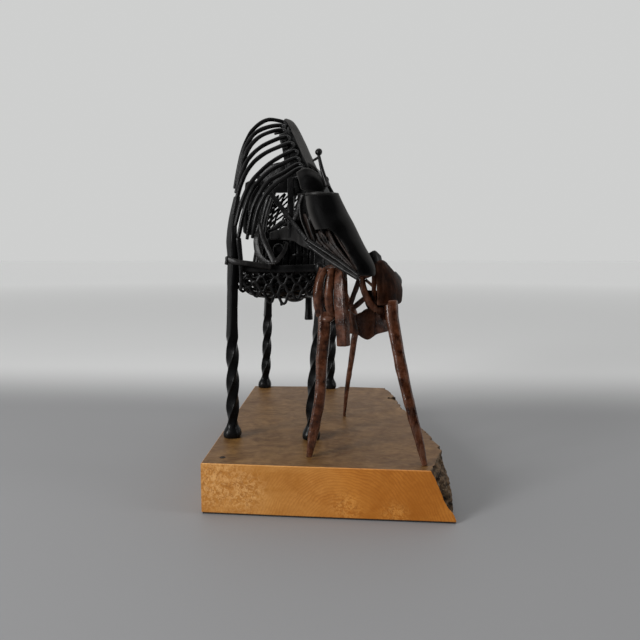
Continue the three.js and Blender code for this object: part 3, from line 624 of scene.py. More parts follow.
# %% [markdown]
# ## The mare's legs
# Each leg is one length of 9.5 mm square bar. The smith upset its lower end into a small hoof, twisted the
# cannon and left the upper part flat where it runs up into the shoulder or the hip. So one sweep does it all:
# the corner number turns the round foot into square bar, and the twist runs only between two heights.

# %% Twisted legs
HOOF_HEIGHTS = [0, 0.8, 2.4, 5.5, 8, 10.5, 13, 16, 20, 26]
HOOF_WIDTHS = [14.6, 16.4, 17.6, 17.6, 16, 13.2, 10.6, 9.2, 8.9, LEG_BAR]


def twisted_leg(route, top, upper_widths, upper_depths, twist_to, seed):
    """A leg from its hoof to the height top. Above twist_to it has the upper widths and depths."""
    foot = SLAB_TOP - 0.3
    route = [(route[0][0], route[0][1], foot), *route[1:]]

    def height(t):
        return foot + (top - foot) * t

    def turns(t):
        return (np.clip(height(t), TWIST_START, twist_to) - TWIST_START) / (4 * LEG_QUARTER_TURN)

    t = np.linspace(0, 1, 160)
    over = height(t) - foot
    above = np.clip((height(t) - twist_to) / (top - twist_to), 0, 1)
    hoof = np.interp(over, HOOF_HEIGHTS, HOOF_WIDTHS)
    width = np.where(height(t) > twist_to, at_shares(upper_widths, above), hoof)
    depth = np.where(height(t) > twist_to, at_shares(upper_depths, above), hoof * 1.06)
    corner = np.interp(height(t), [foot + 4, foot + 12, TWIST_START + 7, twist_to, twist_to + 25],
                       [2.8, 2.3, 11, 11, 6])
    return sweep(route, width, depth, corner=corner, around=40, spacing=1.2, hammer=0.22, grain=9,
                 seed=seed, twist=turns)


FORELEG_WIDTHS = [LEG_BAR, 10.5, 10.6, 11, 12, 12.6, 13, 11.5, 10, 8]
FORELEG_DEPTHS = [LEG_BAR, 8, 8, 8, 8, 7, 7, 6, 5, 4]
HIND_WIDTHS = [LEG_BAR, 11, 11, 11, 10]
HIND_DEPTHS = [LEG_BAR, 8, 8, 8, 8]
LEGS = {
    "mare_foreleg_right": ([(-96, -83, 0), (-95, -83, 105), (-95, -83, 149), (-94, -83, 195),
                            (-93, -84, 223), (-93.5, -86, 245), (-93, -82, 262), (-90, -75, 287)],
                           287, FORELEG_WIDTHS, FORELEG_DEPTHS, 149),
    "mare_foreleg_left": ([(-16, -85, 0), (-14, -85, 91), (-11, -85, 126), (-8, -85, 156), (-5, -85, 195),
                           (-4, -83, 225), (-6, -70, 262), (-14, -50, 298), (-26, -30, 325)],
                          325, FORELEG_WIDTHS, FORELEG_DEPTHS, 149),
    "mare_hindleg_right": ([(-102, 164, 0), (-99, 164, 90), (-97, 164, 141), (-95, 163, 185), (-90, 150, 217),
                            (-86, 140, 245)], 245, HIND_WIDTHS, HIND_DEPTHS, 145),
    "mare_hindleg_left": ([(-11, 164, 0), (-9, 164, 100), (-7, 164, 141), (-8, 163, 185), (-14, 150, 217),
                           (-17, 140, 245)], 245, HIND_WIDTHS, HIND_DEPTHS, 145),
}
for seed, (node, leg) in enumerate(LEGS.items()):
    forge(node, "black_iron", twisted_leg(*leg, seed))
print("legs:", ", ".join(LEGS))

# %% [markdown]
# ## Chest and shoulder
# A flat bar joins the forelegs, a short round-nosed brace is welded on its front, and a thin strap bends into
# the hoop of the breast. Each is a sweep with a nearly square section, because bar stock keeps its corners
# when it is bent cold.

# %% The chest's bars
forge("mare_chest_bar", "black_iron",
      sweep([(-88, -84, 217.5), (-50, -85, 216), (-7, -84, 217)], 7.4, 4, corner=6, hammer=0.25))
forge("mare_chest_brace", "grey_iron",
      sweep([(-98.5, -90, 225.5), (-89, -92.5, 223.2), (-67, -93, 220), (-54, -91.5, 217.6)],
            [7.5, 6.4, 5, 5.2, 5.4, 4.4], [4, 5.5, 5, 5, 4.5], corner=3, bevel=1.6, hammer=0.35, around=18,
            spacing=1.2),
      weld((-97, -91, 228), (-98, -92, 220), 4.2, 8))
forge("mare_breast_frame", "grey_iron",
      sweep([(-66, -75, 257), (-69.5, -79, 248), (-69.5, -81, 238), (-67, -83, 229.5), (-61, -85, 223.5),
             (-54, -87, 221)], [3.6, 6, 6.8, 6.8, 6, 4.5], 2.2, face=(-0.3, -0.95, 0), corner=5),
      sweep([(-67.5, -76, 261), (-64, -79, 248), (-57, -84, 233), (-51, -88, 221.5)], [3.4, 5, 5.6, 5.6], 3,
            corner=5),
      sweep([(-40, -79, 241.5), (-42.5, -82, 233), (-47, -86, 226), (-50, -88, 222)], [3.2, 3.8, 4.2, 5], 3,
            corner=5),
      weld((-62, -87, 220.5), (-50, -89.5, 221.5), 3.4, 5), blob((-49, -89.5, 223), 5, (1.2, 0.7, 0.8), 6))
forge("mare_shoulder_bar", "black_iron",
      sweep([(-84, -90.5, 196), (-84, -90, 222), (-86, -90.5, 246)], [3, 4.4, 5], 3.2, corner=5, hammer=0.3))
forge("mare_shoulder_plate", "black_iron", sheet([
    [(-84, -58, 302), (-76, -62, 304), (-66, -60, 300)],
    [(-86, -66, 276), (-78, -71, 276), (-67, -70, 272)],
    [(-84, -72, 252), (-79, -76, 249), (-73, -74, 250)],
]))
count_pieces("the chest's bars")

# %% [markdown]
# Behind the hoop stand upright slats of scrap in front of a backing sheet. A short round bolt lies across
# them, and a lump of weld closes the left end of the flat bar. They are small, so they are made as one piece
# for each kind.

# %% What fills the chest
SLATS = [(-44, 243), (-37.2, 246), (-30.5, 243), (-23.6, 244), (-17, 240)]
trim("chest_slats", "black_iron",
     *[sweep([(x - 1, -62, 215), (x + 0.6, -64, 230), (x, -61, top)], 5, 2, corner=5, hammer=0.3, seed=x)
       for x, top in SLATS],
     sweep([(-36, -66, 229), (-29, -67, 230), (-21, -66, 229)], 3, 2.4, corner=4))
trim("chest_backing", "black_iron", sheet([
    [(-62, -58, 246), (-50, -56, 247), (-36, -56, 247), (-16, -58, 243)],
    [(-64, -60, 230), (-50, -58, 231), (-36, -57, 230), (-16, -58, 229)],
    [(-64, -60, 214), (-50, -60, 213), (-36, -60, 213), (-15, -60, 213)],
], thickness=1.8))
trim("chest_bolt", "black_iron",
     sweep([(-50, -64, 236), (-49, -76, 235)], [11, 11.4, 10.6], corner=2, around=24, bevel=1.4),
     sweep([(-60, -68, 252), (-50, -72, 258), (-42, -76, 263)], [3.4, 4.6, 4.4], 3, corner=4))
trim("chest_lump", "black_iron", blob((-7, -91, 217.6), 9.4, (1.05, 0.8, 0.95), 3, 0.2))
count_pieces("the chest")

# %% [markdown]
# ## Neck and mane
# The neck is one long plate bent over the crest, from the withers to the poll. Two flat bars carry it: one
# runs down to the chest and one crosses the throat to the jaw. A plate like this is easiest to make from rows
# of points across it.

# %% The neck's bars and plate
forge("mare_neck_bar", "black_iron",
      sweep([(-48, -40, 352), (-41, -66, 323), (-36, -82, 303), (-34, -98, 268), (-34, -98, 246)], 6, 4,
            corner=5, hammer=0.25))
forge("mare_throat_bar", "black_iron",
      sweep([(-71, -62, 308), (-43, -94, 274), (-17, -117, 243)], 4.6, 3, face=(-0.5, -0.8, 0.3), corner=5))
forge("mare_neck_plate", "grey_iron", sheet([
    [(-50, 14, 342), (-42, 15, 337), (-36, 12, 322), (-33, 6, 302)],
    [(-50, -8, 361), (-42, -4, 358), (-34, 2, 338), (-28, -4, 306)],
    [(-47, -30, 370), (-40, -28, 367), (-31, -18, 346), (-22, -22, 310)],
    [(-36, -52, 352), (-29, -50, 348), (-21, -40, 330), (-14, -42, 302)],
    [(-26, -76, 332), (-19, -74, 328), (-13, -62, 312), (-8, -62, 294)],
    [(-17, -98, 314), (-11, -96, 310), (-6, -86, 300), (-4, -82, 290)],
], dent=0.5, dent_size=20), finish="soot_iron")
count_pieces("the neck")

# %% [markdown]
# The mane is nine rods. Each is hooked over the crest, swings out to the mare's right and runs down to the
# shoulder. Their ends are drawn to a taper, as a smith draws out a tail. The hook is the same for all of
# them, so a small rule adds it to each route.

# %% The mane
MANE_ROUTES = [
    [(-47, -31, 366), (-64, -38, 368), (-78, -43, 358), (-87, -47, 341), (-92, -49, 322), (-97, -51, 297)],
    [(-48, -38, 361), (-62, -43, 360), (-76, -50, 352), (-84, -55, 338), (-89, -58, 320), (-92, -60, 303)],
    [(-46, -46, 355), (-58, -50, 354), (-71, -56, 347), (-80, -61, 336), (-86, -64, 320), (-91, -67, 299)],
    [(-41, -54, 347), (-53, -60, 344), (-68, -64, 336), (-79, -69, 324), (-86, -73, 308), (-91, -76, 290)],
    [(-36, -62, 339), (-50, -69, 335), (-66, -74, 326), (-78, -80, 312), (-86, -84, 292), (-91, -88, 268)],
    [(-31, -72, 330), (-45, -79, 325), (-60, -84, 314), (-73, -89, 299), (-82, -93, 279), (-88, -95, 257)],
    [(-28, -84, 321), (-43, -90, 316), (-58, -94, 306), (-71, -98, 290), (-79, -100, 268), (-84, -101, 245)],
    [(-25, -94, 314), (-40, -99, 307), (-55, -103, 297), (-67, -105, 278), (-72, -105, 260),
     (-75, -105, 244)],
    [(-22, -102, 309), (-37, -107, 302), (-51, -110, 291), (-61, -111, 276), (-66, -111, 260),
     (-69, -110, 245)],
]

HOOK = [(-9, -3, -8), (-3.5, -5, -7), (1.6, -5, -4.6), (1.8, -2.5, -1.2), (-2, -1, 0.8)]
MANE_TAPER = MANE_ROD * np.array([0.45, 0.75, 0.86, 0.9, 0.9, 0.92, 0.95, 0.95, 0.9, 0.7])


def hooked(route):
    """The route of a rod whose end is bent over the crest and back in front of it."""
    return [*np.add(route[0], HOOK), *route[1:]]


for number, route in enumerate(MANE_ROUTES, 1):
    forge(f"mare_mane_rod_{number}", "black_iron",
          sweep(hooked(route), MANE_TAPER, around=14, spacing=1.5, hammer=0.22, grain=7, seed=number))
trim("crest_lining", "black_iron", sheet([
    [(-46, -24, 367), (-50, -22, 364), (-54, -18, 360)],
    [(-36, -46, 351), (-44, -38, 351), (-53, -32, 351)],
    [(-27, -68, 333), (-37, -58, 333), (-47, -50, 335)],
    [(-18, -90, 315), (-29, -78, 315), (-42, -68, 318)],
    [(-14, -98, 304), (-26, -88, 303), (-38, -78, 303)],
], thickness=2, dent=0.7, dent_size=9))
trim("withers_plate", "black_iron", sheet([
    [(-82, 18, 322), (-66, 14, 331), (-50, 13, 332), (-34, 16, 323)],
    [(-84, 18, 311), (-66, 14, 313), (-50, 13, 313), (-31, 16, 311)],
    [(-82, 18, 300), (-66, 15, 299), (-50, 14, 299), (-31, 17, 300)],
], dent=0.7))
print("mane rods:", len(MANE_ROUTES))

# %% [markdown]
# ## The head
# The face is a tapering half pipe, open below and cut away behind the mouth. It is bent here as a full sheet
# and then the mouth is cut out of it with a boolean, which is how the real one was sawn.

# %% The face
FACE_ANGLES = np.radians([-95, -50, 0, 50, 90, 125])
FACE_ROWS = [
    (285, -18, 10.5, -112, 12),
    (268, -15, 19, -116, 13),
    (252, -8, 28, -121, 14),
    (236, 4, 36, -127, 13.5),
    (219, 20, 44.5, -135, 10),
    (212, 27, 45, -138, 8),
]
MOUTH_CUT = [(-40, 252), (5, 252.5), (17, 240), (23, 229), (29, 219), (33, 205), (20, 190), (-40, 190)]


def face_row(row):
    """Points round the half pipe at one height. A row gives height, right, left, rear and bulge."""
    height, right, left, rear, bulge = row
    across = (right + left) / 2 + (left - right) / 2 * np.sin(FACE_ANGLES)
    return [(x, rear - bulge * math.cos(a), height) for x, a in zip(across, FACE_ANGLES)]


def cutter_between(outline, front, back):
    """A prism along Y with the given outline in X and Z."""
    count = len(outline)
    near = [(x * MM, front * MM, z * MM) for x, z in outline]
    far = [(x * MM, back * MM, z * MM) for x, z in outline]
    walls = [(i, (i + 1) % count, (i + 1) % count + count, i + count) for i in range(count)]
    ends = [tuple(range(count - 1, -1, -1)), tuple(range(count, 2 * count))]
    return in_scene("cutter", plain_mesh("cutter", near + far, ends + walls))


def cut_away(piece, cutter):
    """Cuts one object out of another and keeps only the result."""
    boolean = piece.modifiers.new("cut", "BOOLEAN")
    boolean.operation = "DIFFERENCE"
    boolean.solver = "EXACT"
    boolean.object = cutter
    ready = piece.evaluated_get(bpy.context.evaluated_depsgraph_get())
    mesh = bpy.data.meshes.new_from_object(ready)
    piece.modifiers.clear()
    piece.data = mesh
    bpy.data.objects.remove(cutter)


face = forge("mare_face", "black_iron",
             sheet([face_row(row) for row in FACE_ROWS], spacing=1.6, dent=0.45, dent_size=12),
             finish="soot_iron")
cut_away(face, cutter_between(MOUTH_CUT, -170, -60))
print("the cut face has", len(face.data.polygons), "faces")

# %% [markdown]
# A rolled lip finishes the top of the face. The jaw is a pair of forged bars laid side by side. Behind it
# long fins, tongues and wires of scrap fill the mouth. They are thin bars that look the same way, so each
# needs only a route and its widths.

# %% Lip, jaw and mouth
trim("face_lip", "grey_iron",
     sweep(face_row((284.6, -18.4, 11, -112.4, 12.4)), [2.4, 3.2, 3.4, 3.2, 3, 2.4], 3, face=(0, 0, 1),
           corner=2.4, hammer=0.4, grain=4))
forge("mare_jaw_bar", "grey_iron",
      sweep([(-15, -123, 238.5), (6, -134, 224), (31, -147.5, 208.6)], [4.6, 4.6, 4.4, 3.4], 4,
            face=(-0.2, -0.7, 0.7), corner=2.6, around=18, hammer=0.25),
      sweep([(-16, -120, 243), (7, -131.5, 228.5), (31.5, -146, 211)], [3.6, 3.8, 3.4, 2.6], 3.4,
            face=(-0.2, -0.7, 0.7), corner=3, around=16, hammer=0.25, seed=2))
FINS = [
    ([(-12, -114, 252), (-5, -119, 240), (10, -130, 226), (28, -142, 212)], [5, 7, 6, 4]),
    ([(-6, -115, 251), (2, -121, 241), (15, -131, 226), (29, -141, 213)], [4, 6, 5.4, 3.6]),
    ([(8, -117, 251), (19, -128, 236), (25, -135, 225), (31, -140, 214)], [3.6, 4, 4, 3.4]),
]
TONGUES = [
    ([(2, -119, 252), (7, -123, 239), (15, -129, 228), (23, -135, 220), (30, -140, 213)], [5, 7.4, 7, 6, 3]),
    ([(-20, -113, 267), (-15, -116, 254), (-11, -118, 243), (-3, -123, 236)], [4, 8, 8.4, 4]),
]
WIRES = [
    [(9, -121, 249), (17, -128, 236), (24, -134, 226), (31, -140, 214)],
    [(12, -120, 247), (20, -128, 234), (27, -134, 222), (33, -140, 212)],
]
FIN_FACE = (-0.7, -0.5, 0.4)
forge("mare_jaw_fins", "grey_iron",
      *[sweep(route, width, 1.8, face=FIN_FACE, corner=5, hammer=0.3, seed=k)
        for k, (route, width) in enumerate(FINS)], finish="brown_iron")
trim("mouth_tongues", "grey_iron",
     *[sweep(route, width, 2.2, face=FIN_FACE, corner=3.5, hammer=0.4, seed=k)
       for k, (route, width) in enumerate(TONGUES)],
     *[sweep(route, [1.2, 1.7, 1.6, 1.2], around=8, hammer=0.25, seed=5 + k)
       for k, route in enumerate(WIRES)],
     finish="brown_iron")
trim("mouth_roof", "black_iron", sheet([
    [(-17, -104, 268), (-4, -108, 268), (12, -106, 268)],
    [(-16, -108, 250), (4, -112, 250), (24, -110, 250)],
    [(-2, -116, 236), (14, -120, 236), (32, -118, 236)],
    [(20, -130, 220), (28, -131, 220), (38, -129, 220)],
], thickness=1.6, dent=0.6, dent_size=8))
count_pieces("the mouth")

# %% [markdown]
# Between the face and the neck the real head is packed with dark scrap. Two beaten linings close the view
# there, and a strut with short wires in front of them gives the cheek its depth.

# %% What fills the cheek
trim("cheek_lining", "black_iron", sheet([
    [(-27, -100, 287), (-20, -101, 287), (-13, -101, 287), (-4, -98, 287)],
    [(-28, -98, 275), (-20, -101, 275), (-12, -102, 275), (-2, -99, 274)],
    [(-30, -97, 260), (-21, -101, 260), (-11, -103, 260), (2, -101, 259)],
    [(-24, -100, 247), (-17, -103, 247), (-9, -104, 247), (4, -104, 246)],
], thickness=1.6, dent=0.8, dent_size=8), sheet([
    [(-39, -80, 295), (-35, -82, 295), (-31, -83, 294)],
    [(-39, -79, 277), (-35, -82, 277), (-32, -84, 276)],
    [(-40, -78, 260), (-36, -82, 260), (-33, -84, 260)],
], thickness=1.6, dent=0.6, dent_size=7), finish="soot_iron")
trim("cheek_strut", "grey_iron",
     sweep([(-21, -109, 285), (-25, -107, 273), (-31, -104, 260)], [5, 5.6, 4.4], 2.4, face=(-0.3, -0.95, 0),
           corner=4, hammer=0.35),
     sweep([(-16, -119, 262), (-13, -120, 252), (-9, -121, 242)], [1.6, 2, 1.6], around=8),
     *[sweep([(x, -122, z), (x + 3.4, -123, z - 7)], 1.4, around=8, hammer=0.2, seed=x)
       for x, z in ((-7, 249), (-3.5, 248), (0, 246.5))])
count_pieces("the cheek's filling")

# %% [markdown]
# The cheeks and the throat are narrow bent plates, and the poll is a small domed one. The ears are nails with
# ball heads: a lump of forged metal on a thin tapering stem.

# %% Cheeks, poll and ears
forge("mare_cheek_right", "grey_iron", sheet([
    [(-21, -112, 284), (-24, -114, 275), (-23, -116, 263), (-19, -118, 252), (-15, -119, 244)],
    [(-18, -106, 284), (-18, -107, 275), (-16, -109, 262), (-13, -112, 250), (-12, -114, 243)],
], thickness=2))
forge("mare_cheek_left", "grey_iron", sheet([
    [(10, -98, 282), (16, -100, 268), (21, -106, 254), (24, -112, 244)],
    [(4, -92, 280), (8, -94, 267), (12, -101, 254), (17, -110, 244)],
], thickness=2))
forge("mare_throat_plate", "grey_iron", sheet([
    [(-57, -77, 251.5), (-47, -84, 254), (-39, -94, 257), (-29, -103, 256), (-22, -111, 246),
     (-15, -116, 239)],
    [(-57, -77, 245), (-45, -84, 244.5), (-38, -94, 243.5), (-30, -103, 242), (-22, -111, 238),
     (-14, -117, 234.5)],
], thickness=2))
forge("mare_poll_plate", "grey_iron", sheet([
    [(-28, -110, 305), (-19, -111, 309), (-10, -109, 306), (-2, -107, 298)],
    [(-25, -114, 298), (-17, -117, 299), (-8, -116, 297), (0, -112, 290)],
    [(-22, -116, 290), (-16, -117, 287), (-10, -117, 286), (-3, -116, 287)],
], spacing=1.4, dent=0.8, dent_size=9), finish="soot_iron")
trim("throat_lining", "black_iron", sheet([
    [(-35, -70, 306), (-22, -76, 308), (-8, -80, 304)],
    [(-36, -72, 296), (-22, -80, 296), (-6, -84, 294)],
    [(-34, -76, 288), (-22, -84, 286), (-4, -90, 284)],
], thickness=1.8))
forge("mare_ear_right", "grey_iron",
      blob((-7, -106, 324), 6.8, rough=0.12, seed=4),
      sweep([(-7, -106, 322), (-3, -111, 306), (2, -114, 292)], [3, 3.4, 4, 4.6], around=12),
      sweep([(-13, -100, 317), (-7.5, -106, 319)], 2.4, around=10))
forge("mare_ear_left", "grey_iron",
      blob((-1, -103, 299), 7.3, rough=0.05),
      sweep([(-1, -103, 298), (3, -104, 292), (6, -105, 286)], [2.6, 3.2, 4], around=12))
count_pieces("the head")

# %% [markdown]
# ## The barrel and the quarters
# A flat bar runs along the back, three bent ribs hang from it on each side to a long strap, and the croup and
# haunches are domed plates. The two sides mirror each other, so a loop makes both.

# %% Backbone, ribs, croup and haunches
BELLY_HALF_WIDTHS = [40, 39, 40, 43, 47]


def belly_half(y):
    """Half the barrel's width at a place along the body."""
    return float(at_shares(BELLY_HALF_WIDTHS, [(y - BELLY_FRONT) / (BELLY_REAR - BELLY_FRONT)])[0])


def mirrored(point, sign):
    """A point of the right side, on the right for a sign of -1 and on the left for 1."""
    x, y, z = point
    return (BODY_MIDDLE - sign * (x - BODY_MIDDLE), y, z)


HAUNCH_ROWS = [
    [(-95, 100, 222), (-103, 122, 216), (-101, 148, 214), (-83, 162, 216), (-54, 166, 220)],
    [(-96, 92, 242), (-106, 122, 240), (-103, 148, 240), (-83, 163, 240), (-53.5, 166.5, 240)],
    [(-93, 98, 272), (-103, 120, 284), (-101, 144, 270), (-81, 160, 258), (-54, 165, 256)],
]
STRAP_SHARES = [0.02, 0.25, 0.5, 0.75, 0.93]
RIB_PLACES = [16, 44, 72]
RIB_SHARES = [(0.2, 328), (0.48, 308), (0.76, 275), (0.88, 240), (0.99, RING_HEIGHT - 2)]
for side, sign in (("right", -1), ("left", 1)):
    strap = []
    for t in STRAP_SHARES:
        y = BELLY_FRONT + (BELLY_REAR - BELLY_FRONT) * t
        strap.append((BODY_MIDDLE + sign * (belly_half(y) + 1), y, RING_HEIGHT - 2))
    shells = [sweep(strap, 7, 3, face=(sign, 0, 0), corner=6, hammer=0.25)]
    for y in RIB_PLACES:
        route = [(BODY_MIDDLE + sign * part * belly_half(y), y, z) for part, z in RIB_SHARES]
        shells.append(sweep(route, 8, 3, face=(sign, 0, 0.2), corner=6, hammer=0.25, seed=y))
    forge(f"mare_ribs_{side}", "black_iron", *shells)
    rows = [[mirrored(p, sign) for p in row] for row in HAUNCH_ROWS]
    forge(f"mare_haunch_{side}", "black_iron", sheet(rows, dent=0.5, dent_size=22))
forge("mare_backbone", "black_iron",
      sweep([(-48, 18, 334), (-51, 50, 333), (-52, 85, 335.5), (-52, 120, 338), (-52, 148, 334)],
            [12, 12, 12, 12, 9], 5, face=(0, 0, 1), corner=6, hammer=0.3))
forge("mare_croup_plate", "black_iron", sheet([
    [(-80, 74, 304), (-74, 72, 323), (-64, 70, 337), (-51, 70, 341), (-38, 70, 337), (-28, 72, 323),
     (-22, 74, 304)],
    [(-95, 112, 300), (-87, 110, 325), (-70, 108, 341), (-51, 108, 345), (-32, 108, 341), (-15, 110, 325),
     (-7, 112, 300)],
    [(-98, 142, 302), (-88, 144, 326), (-70, 145, 340), (-51, 146, 343), (-32, 145, 340), (-14, 144, 326),
     (-6, 142, 302)],
    [(-90, 155, 306), (-82, 159, 317), (-68, 163, 322), (-51, 164, 324), (-34, 163, 322), (-20, 159, 317),
     (-12, 155, 306)],
], dent=0.5, dent_size=24, spacing=3))
count_pieces("the barrel")

# %% [markdown]
# The belly is a basket of expanded metal that hangs between the straps and turns up behind the chest bar,
# with a torn curtain of it in front. A wider sheet closes the rump, with the openings pulled to a slant. The
# same rule weaves all three, each on its own surface.

# %% Belly and rump
BELLY_ROWS = [(-80, 214, 215, 215), (-76, 211, 204, 202), (-68, 209, 195, 190.5), (-20, 208, 188, 184),
              (50, 208, 185, 181), (BELLY_REAR, 211, 190, 185)]


def belly_row(y, edge, bilge, keel):
    """Points across the basket, from the height of its edge down to its keel."""
    shape = [(-1, edge), (-0.82, bilge), (0, keel), (0.82, bilge), (1, edge)]
    return [(BODY_MIDDLE + part * belly_half(y), y, z) for part, z in shape]


belly_rows = [belly_row(*row) for row in BELLY_ROWS]
rump_rows = [
    [(-97, 140, 262), (-85, 157, 260), (-51, 163.5, 259), (-17, 157, 260), (-5, 140, 262)],
    [(-97, 140, 284), (-84, 157, 284), (-51, 163, 285), (-18, 157, 284), (-5, 140, 284)],
    [(-93, 148, 301), (-80, 156, 309), (-51, 162, 315), (-22, 156, 309), (-9, 148, 301)],
]
front_curtain = [
    [(-91, -79, 215), (-71, -81, 215), (-51, -82, 215), (-31, -81, 215), (-11, -79, 215)],
    [(-93, -78, 206), (-72, -82, 203), (-51, -83, 200), (-30, -81, 202), (-10, -78, 204)],
    [(-92, -76, 196), (-71, -80, 189), (-50, -81, 181), (-30, -79, 186), (-11, -75, 193.5)],
]
forge("mare_belly_mesh", "black_iron",
      *expanded_metal(belly_rows, 6, 11, strand=2.5, knuckle=0.18, seed=40),
      *expanded_metal(front_curtain, 6, 2, strand=2.7, knuckle=0.18, seed=70),
      sweep([(-50, -77, 190), (-47.5, -75, 185), (-46.5, -73, 179.4)], [2.4, 2.2, 2.6], around=10,
            hammer=0.5))
forge("mare_rump_mesh", "black_iron",
      *expanded_metal(rump_rows, 12, 3, strand=2.5, knuckle=0.12, lean=1.5, seed=90))
count_pieces("the meshes")

# %% [markdown]
# Old sheet lies inside the basket and keeps it dark, and its front is mended with a patch and a ring. The
# lining is beaten much more than the plates are, so its dents are deeper and closer.

# %% What lies in the belly
trim("belly_lining", "black_iron", sheet([
    [(-72, -68, 214), (-60, -70, 214), (-46, -69, 214), (-30, -70, 214), (-14, -68, 214)],
    [(-75, -67, 204), (-62, -69, 203), (-46, -66, 203), (-30, -69, 204), (-14, -66, 205)],
    [(-71, -62, 195), (-62, -63, 193), (-46, -60, 192), (-30, -62, 194), (-15, -60, 197)],
    [(-74, -30, 193), (-62, -30, 189.5), (-46, -30, 188), (-30, -30, 190), (-20, -30, 194)],
    [(-74, 20, 193), (-62, 20, 189), (-46, 20, 188), (-30, 20, 190), (-20, 20, 194)],
], thickness=1.6, dent=2, dent_size=11), finish="soot_iron")
trim("belly_patch", "grey_iron", sheet([
    [(-74, -71, 212), (-67, -73, 213), (-61, -72, 212)],
    [(-77, -71, 203), (-69, -73, 202), (-62, -71, 202)],
    [(-72, -66, 195), (-67, -68, 193), (-62, -66, 194)],
], thickness=1.6, dent=0.6))
RING_TURNS = np.linspace(0, 2 * math.pi, 9)[:-1]
trim("belly_ring", "black_iron",
     sweep([(-47 + 4.4 * math.cos(a), -74 - 2 * math.sin(a), 198 + 5.6 * math.sin(a)) for a in RING_TURNS],
           3, face=(0.1, -1, 0.1), around=12))
count_pieces("the belly's filling")

# %% [markdown]
# A small steel bowl and a short pipe make the udder, and two long rods make the tail. The bowl is turned: a
# profile goes round a vertical axis.

# %% Udder and tail


def lathe(profile, centre, around=40):
    """A turned shape round a vertical axis, from radius and height pairs."""
    angle = np.linspace(0, 2 * np.pi, around, endpoint=False)
    x, y = centre
    rings = np.array([[(x + r * math.cos(a), y + r * math.sin(a), z) for a in angle] for r, z in profile])
    return closed_tube(rings, rings[0].mean(0), rings[-1].mean(0))


forge("mare_udder_bowl", "grey_iron",
      lathe([(0.5, 170), (4, 170.2), (7, 171), (10.5, 172.8), (12.6, 174.8), (13.4, 177.2), (12.4, 177.3),
             (11, 175), (7, 172.6), (0.5, 171.6)], (BODY_MIDDLE - 2, 104)))
forge("mare_udder_teat", "black_iron",
      sweep([(-36, 118, 186), (-36, 118, 166), (-36, 118, 146)], [8.4, 8.6, 9, 11], around=20, corner=2.4))
forge("mare_tail", "black_iron",
      sweep([(-54, 167, 320), (-62, 171, 300), (-66, 172, 262), (-66, 170.5, 205)], [4.6, 4.6, 4.2, 3]),
      sweep([(-57, 168, 317), (-68, 171.5, 296), (-72.5, 172, 262), (-72, 170.5, 197)], [4.6, 4.6, 4.2, 3]))
count_pieces("the mare")

# %% [markdown]
# ## The foal
# The foal is seen from behind. Its hind legs are heavy bars drawn out to points, and its forelegs are thinner
# ones. A smith draws a point over the last few centimetres only, so the widths fall quickly at the foot.

# %% The foal's legs
forge("foal_hindleg_left", "rusted_iron",
      sweep([(-13, -143, SLAB_TOP - 0.3), (-9, -139, 70), (-4, -136, 98), (-2, -132, 134), (0, -129, 161),
             (0, -127, 178)],
            [5, 8.2, 9.4, 9.4, 9.6, 9.8, 10.2, 10.6, 11, 11.2, 11.4, 11.4], corner=3.6, around=26,
            spacing=1.4, hammer=0.5, grain=9, seed=11))
forge("foal_hindleg_right", "rusted_iron",
      sweep([(90, -160, SLAB_TOP - 0.3), (85, -154, 67), (77, -148, 97), (70, -141, 127), (65, -135, 153),
             (61, -130, 176), (60, -127, 188)],
            [4.6, 7.2, 8.2, 8.8, 9.4, 9.8, 10.2, 10.6, 11, 11.6, 12.2, 12.2], corner=3.6, around=26,
            spacing=1.4, hammer=0.5, grain=9, seed=12))
FORELEG_TAPER = [3, 4.6, 5.8, 6.6, 7.2, 7.6, 7.8, 7.4]
forge("foal_foreleg_right", "rusted_iron",
      sweep([(14, 9, SLAB_TOP - 0.3), (17, 7, 77), (22, 4, 112), (25, 1, 135), (27, 0, 152), (24, 0, 167),
             (15, 2, 184), (9, 5, 203)], FORELEG_TAPER, corner=2.6, hammer=0.25, seed=13))
forge("foal_foreleg_left", "rusted_iron",
      sweep([(-17, 7, SLAB_TOP - 0.3), (-13, 5, 89), (-10, 2, 123), (-7, 0, 152), (-5, 0, 180), (0, 5, 203)],
            FORELEG_TAPER, corner=2.6, hammer=0.25, seed=14))
count_pieces("the foal's legs")

# %% [markdown]
# The tail is a square bar set on its corner, a round strap curves down over the left thigh beside it, and a
# thick plate with a bar on it makes the left haunch. Lumps of weld join them at the croup.

# %% The foal's tail and left haunch
forge("foal_tail", "rusted_iron",
      sweep([(14, -125, 217), (15, -133, 207), (15.5, -137, 189), (17, -139, 167), (18, -140, 148)],
            [9.4, 10.4, 10.8, 10.8, 10.2], 8.4, face=(-0.52, -0.85, 0), corner=8, around=32, hammer=0.3,
            seed=15))
forge("foal_thigh_strap", "rusted_iron",
      sweep([(11, -124, 216), (7, -128, 215), (5.4, -132, 205), (4.4, -133, 190), (6, -131, 179),
             (12, -128, 171)],
            [5, 7, 8, 8.4, 7.6, 5], [5, 6, 6.4, 6.4, 6, 4], corner=2.6, around=22, hammer=0.3, seed=16))
forge("foal_haunch_left", "rusted_iron", sheet([
    [(0, -127, 214), (-3, -120, 218), (-5, -104, 218), (-3, -88, 214)],
    [(-1, -131, 200), (-7, -125, 200), (-10.5, -106, 200), (-9.5, -86, 200)],
    [(0, -129, 182), (-8, -124, 184), (-10.5, -108, 184), (-10, -92, 186)],
    [(-1, -127, 174), (-5, -124, 173), (-8, -112, 174), (-9, -104, 178)],
], spacing=1.5))
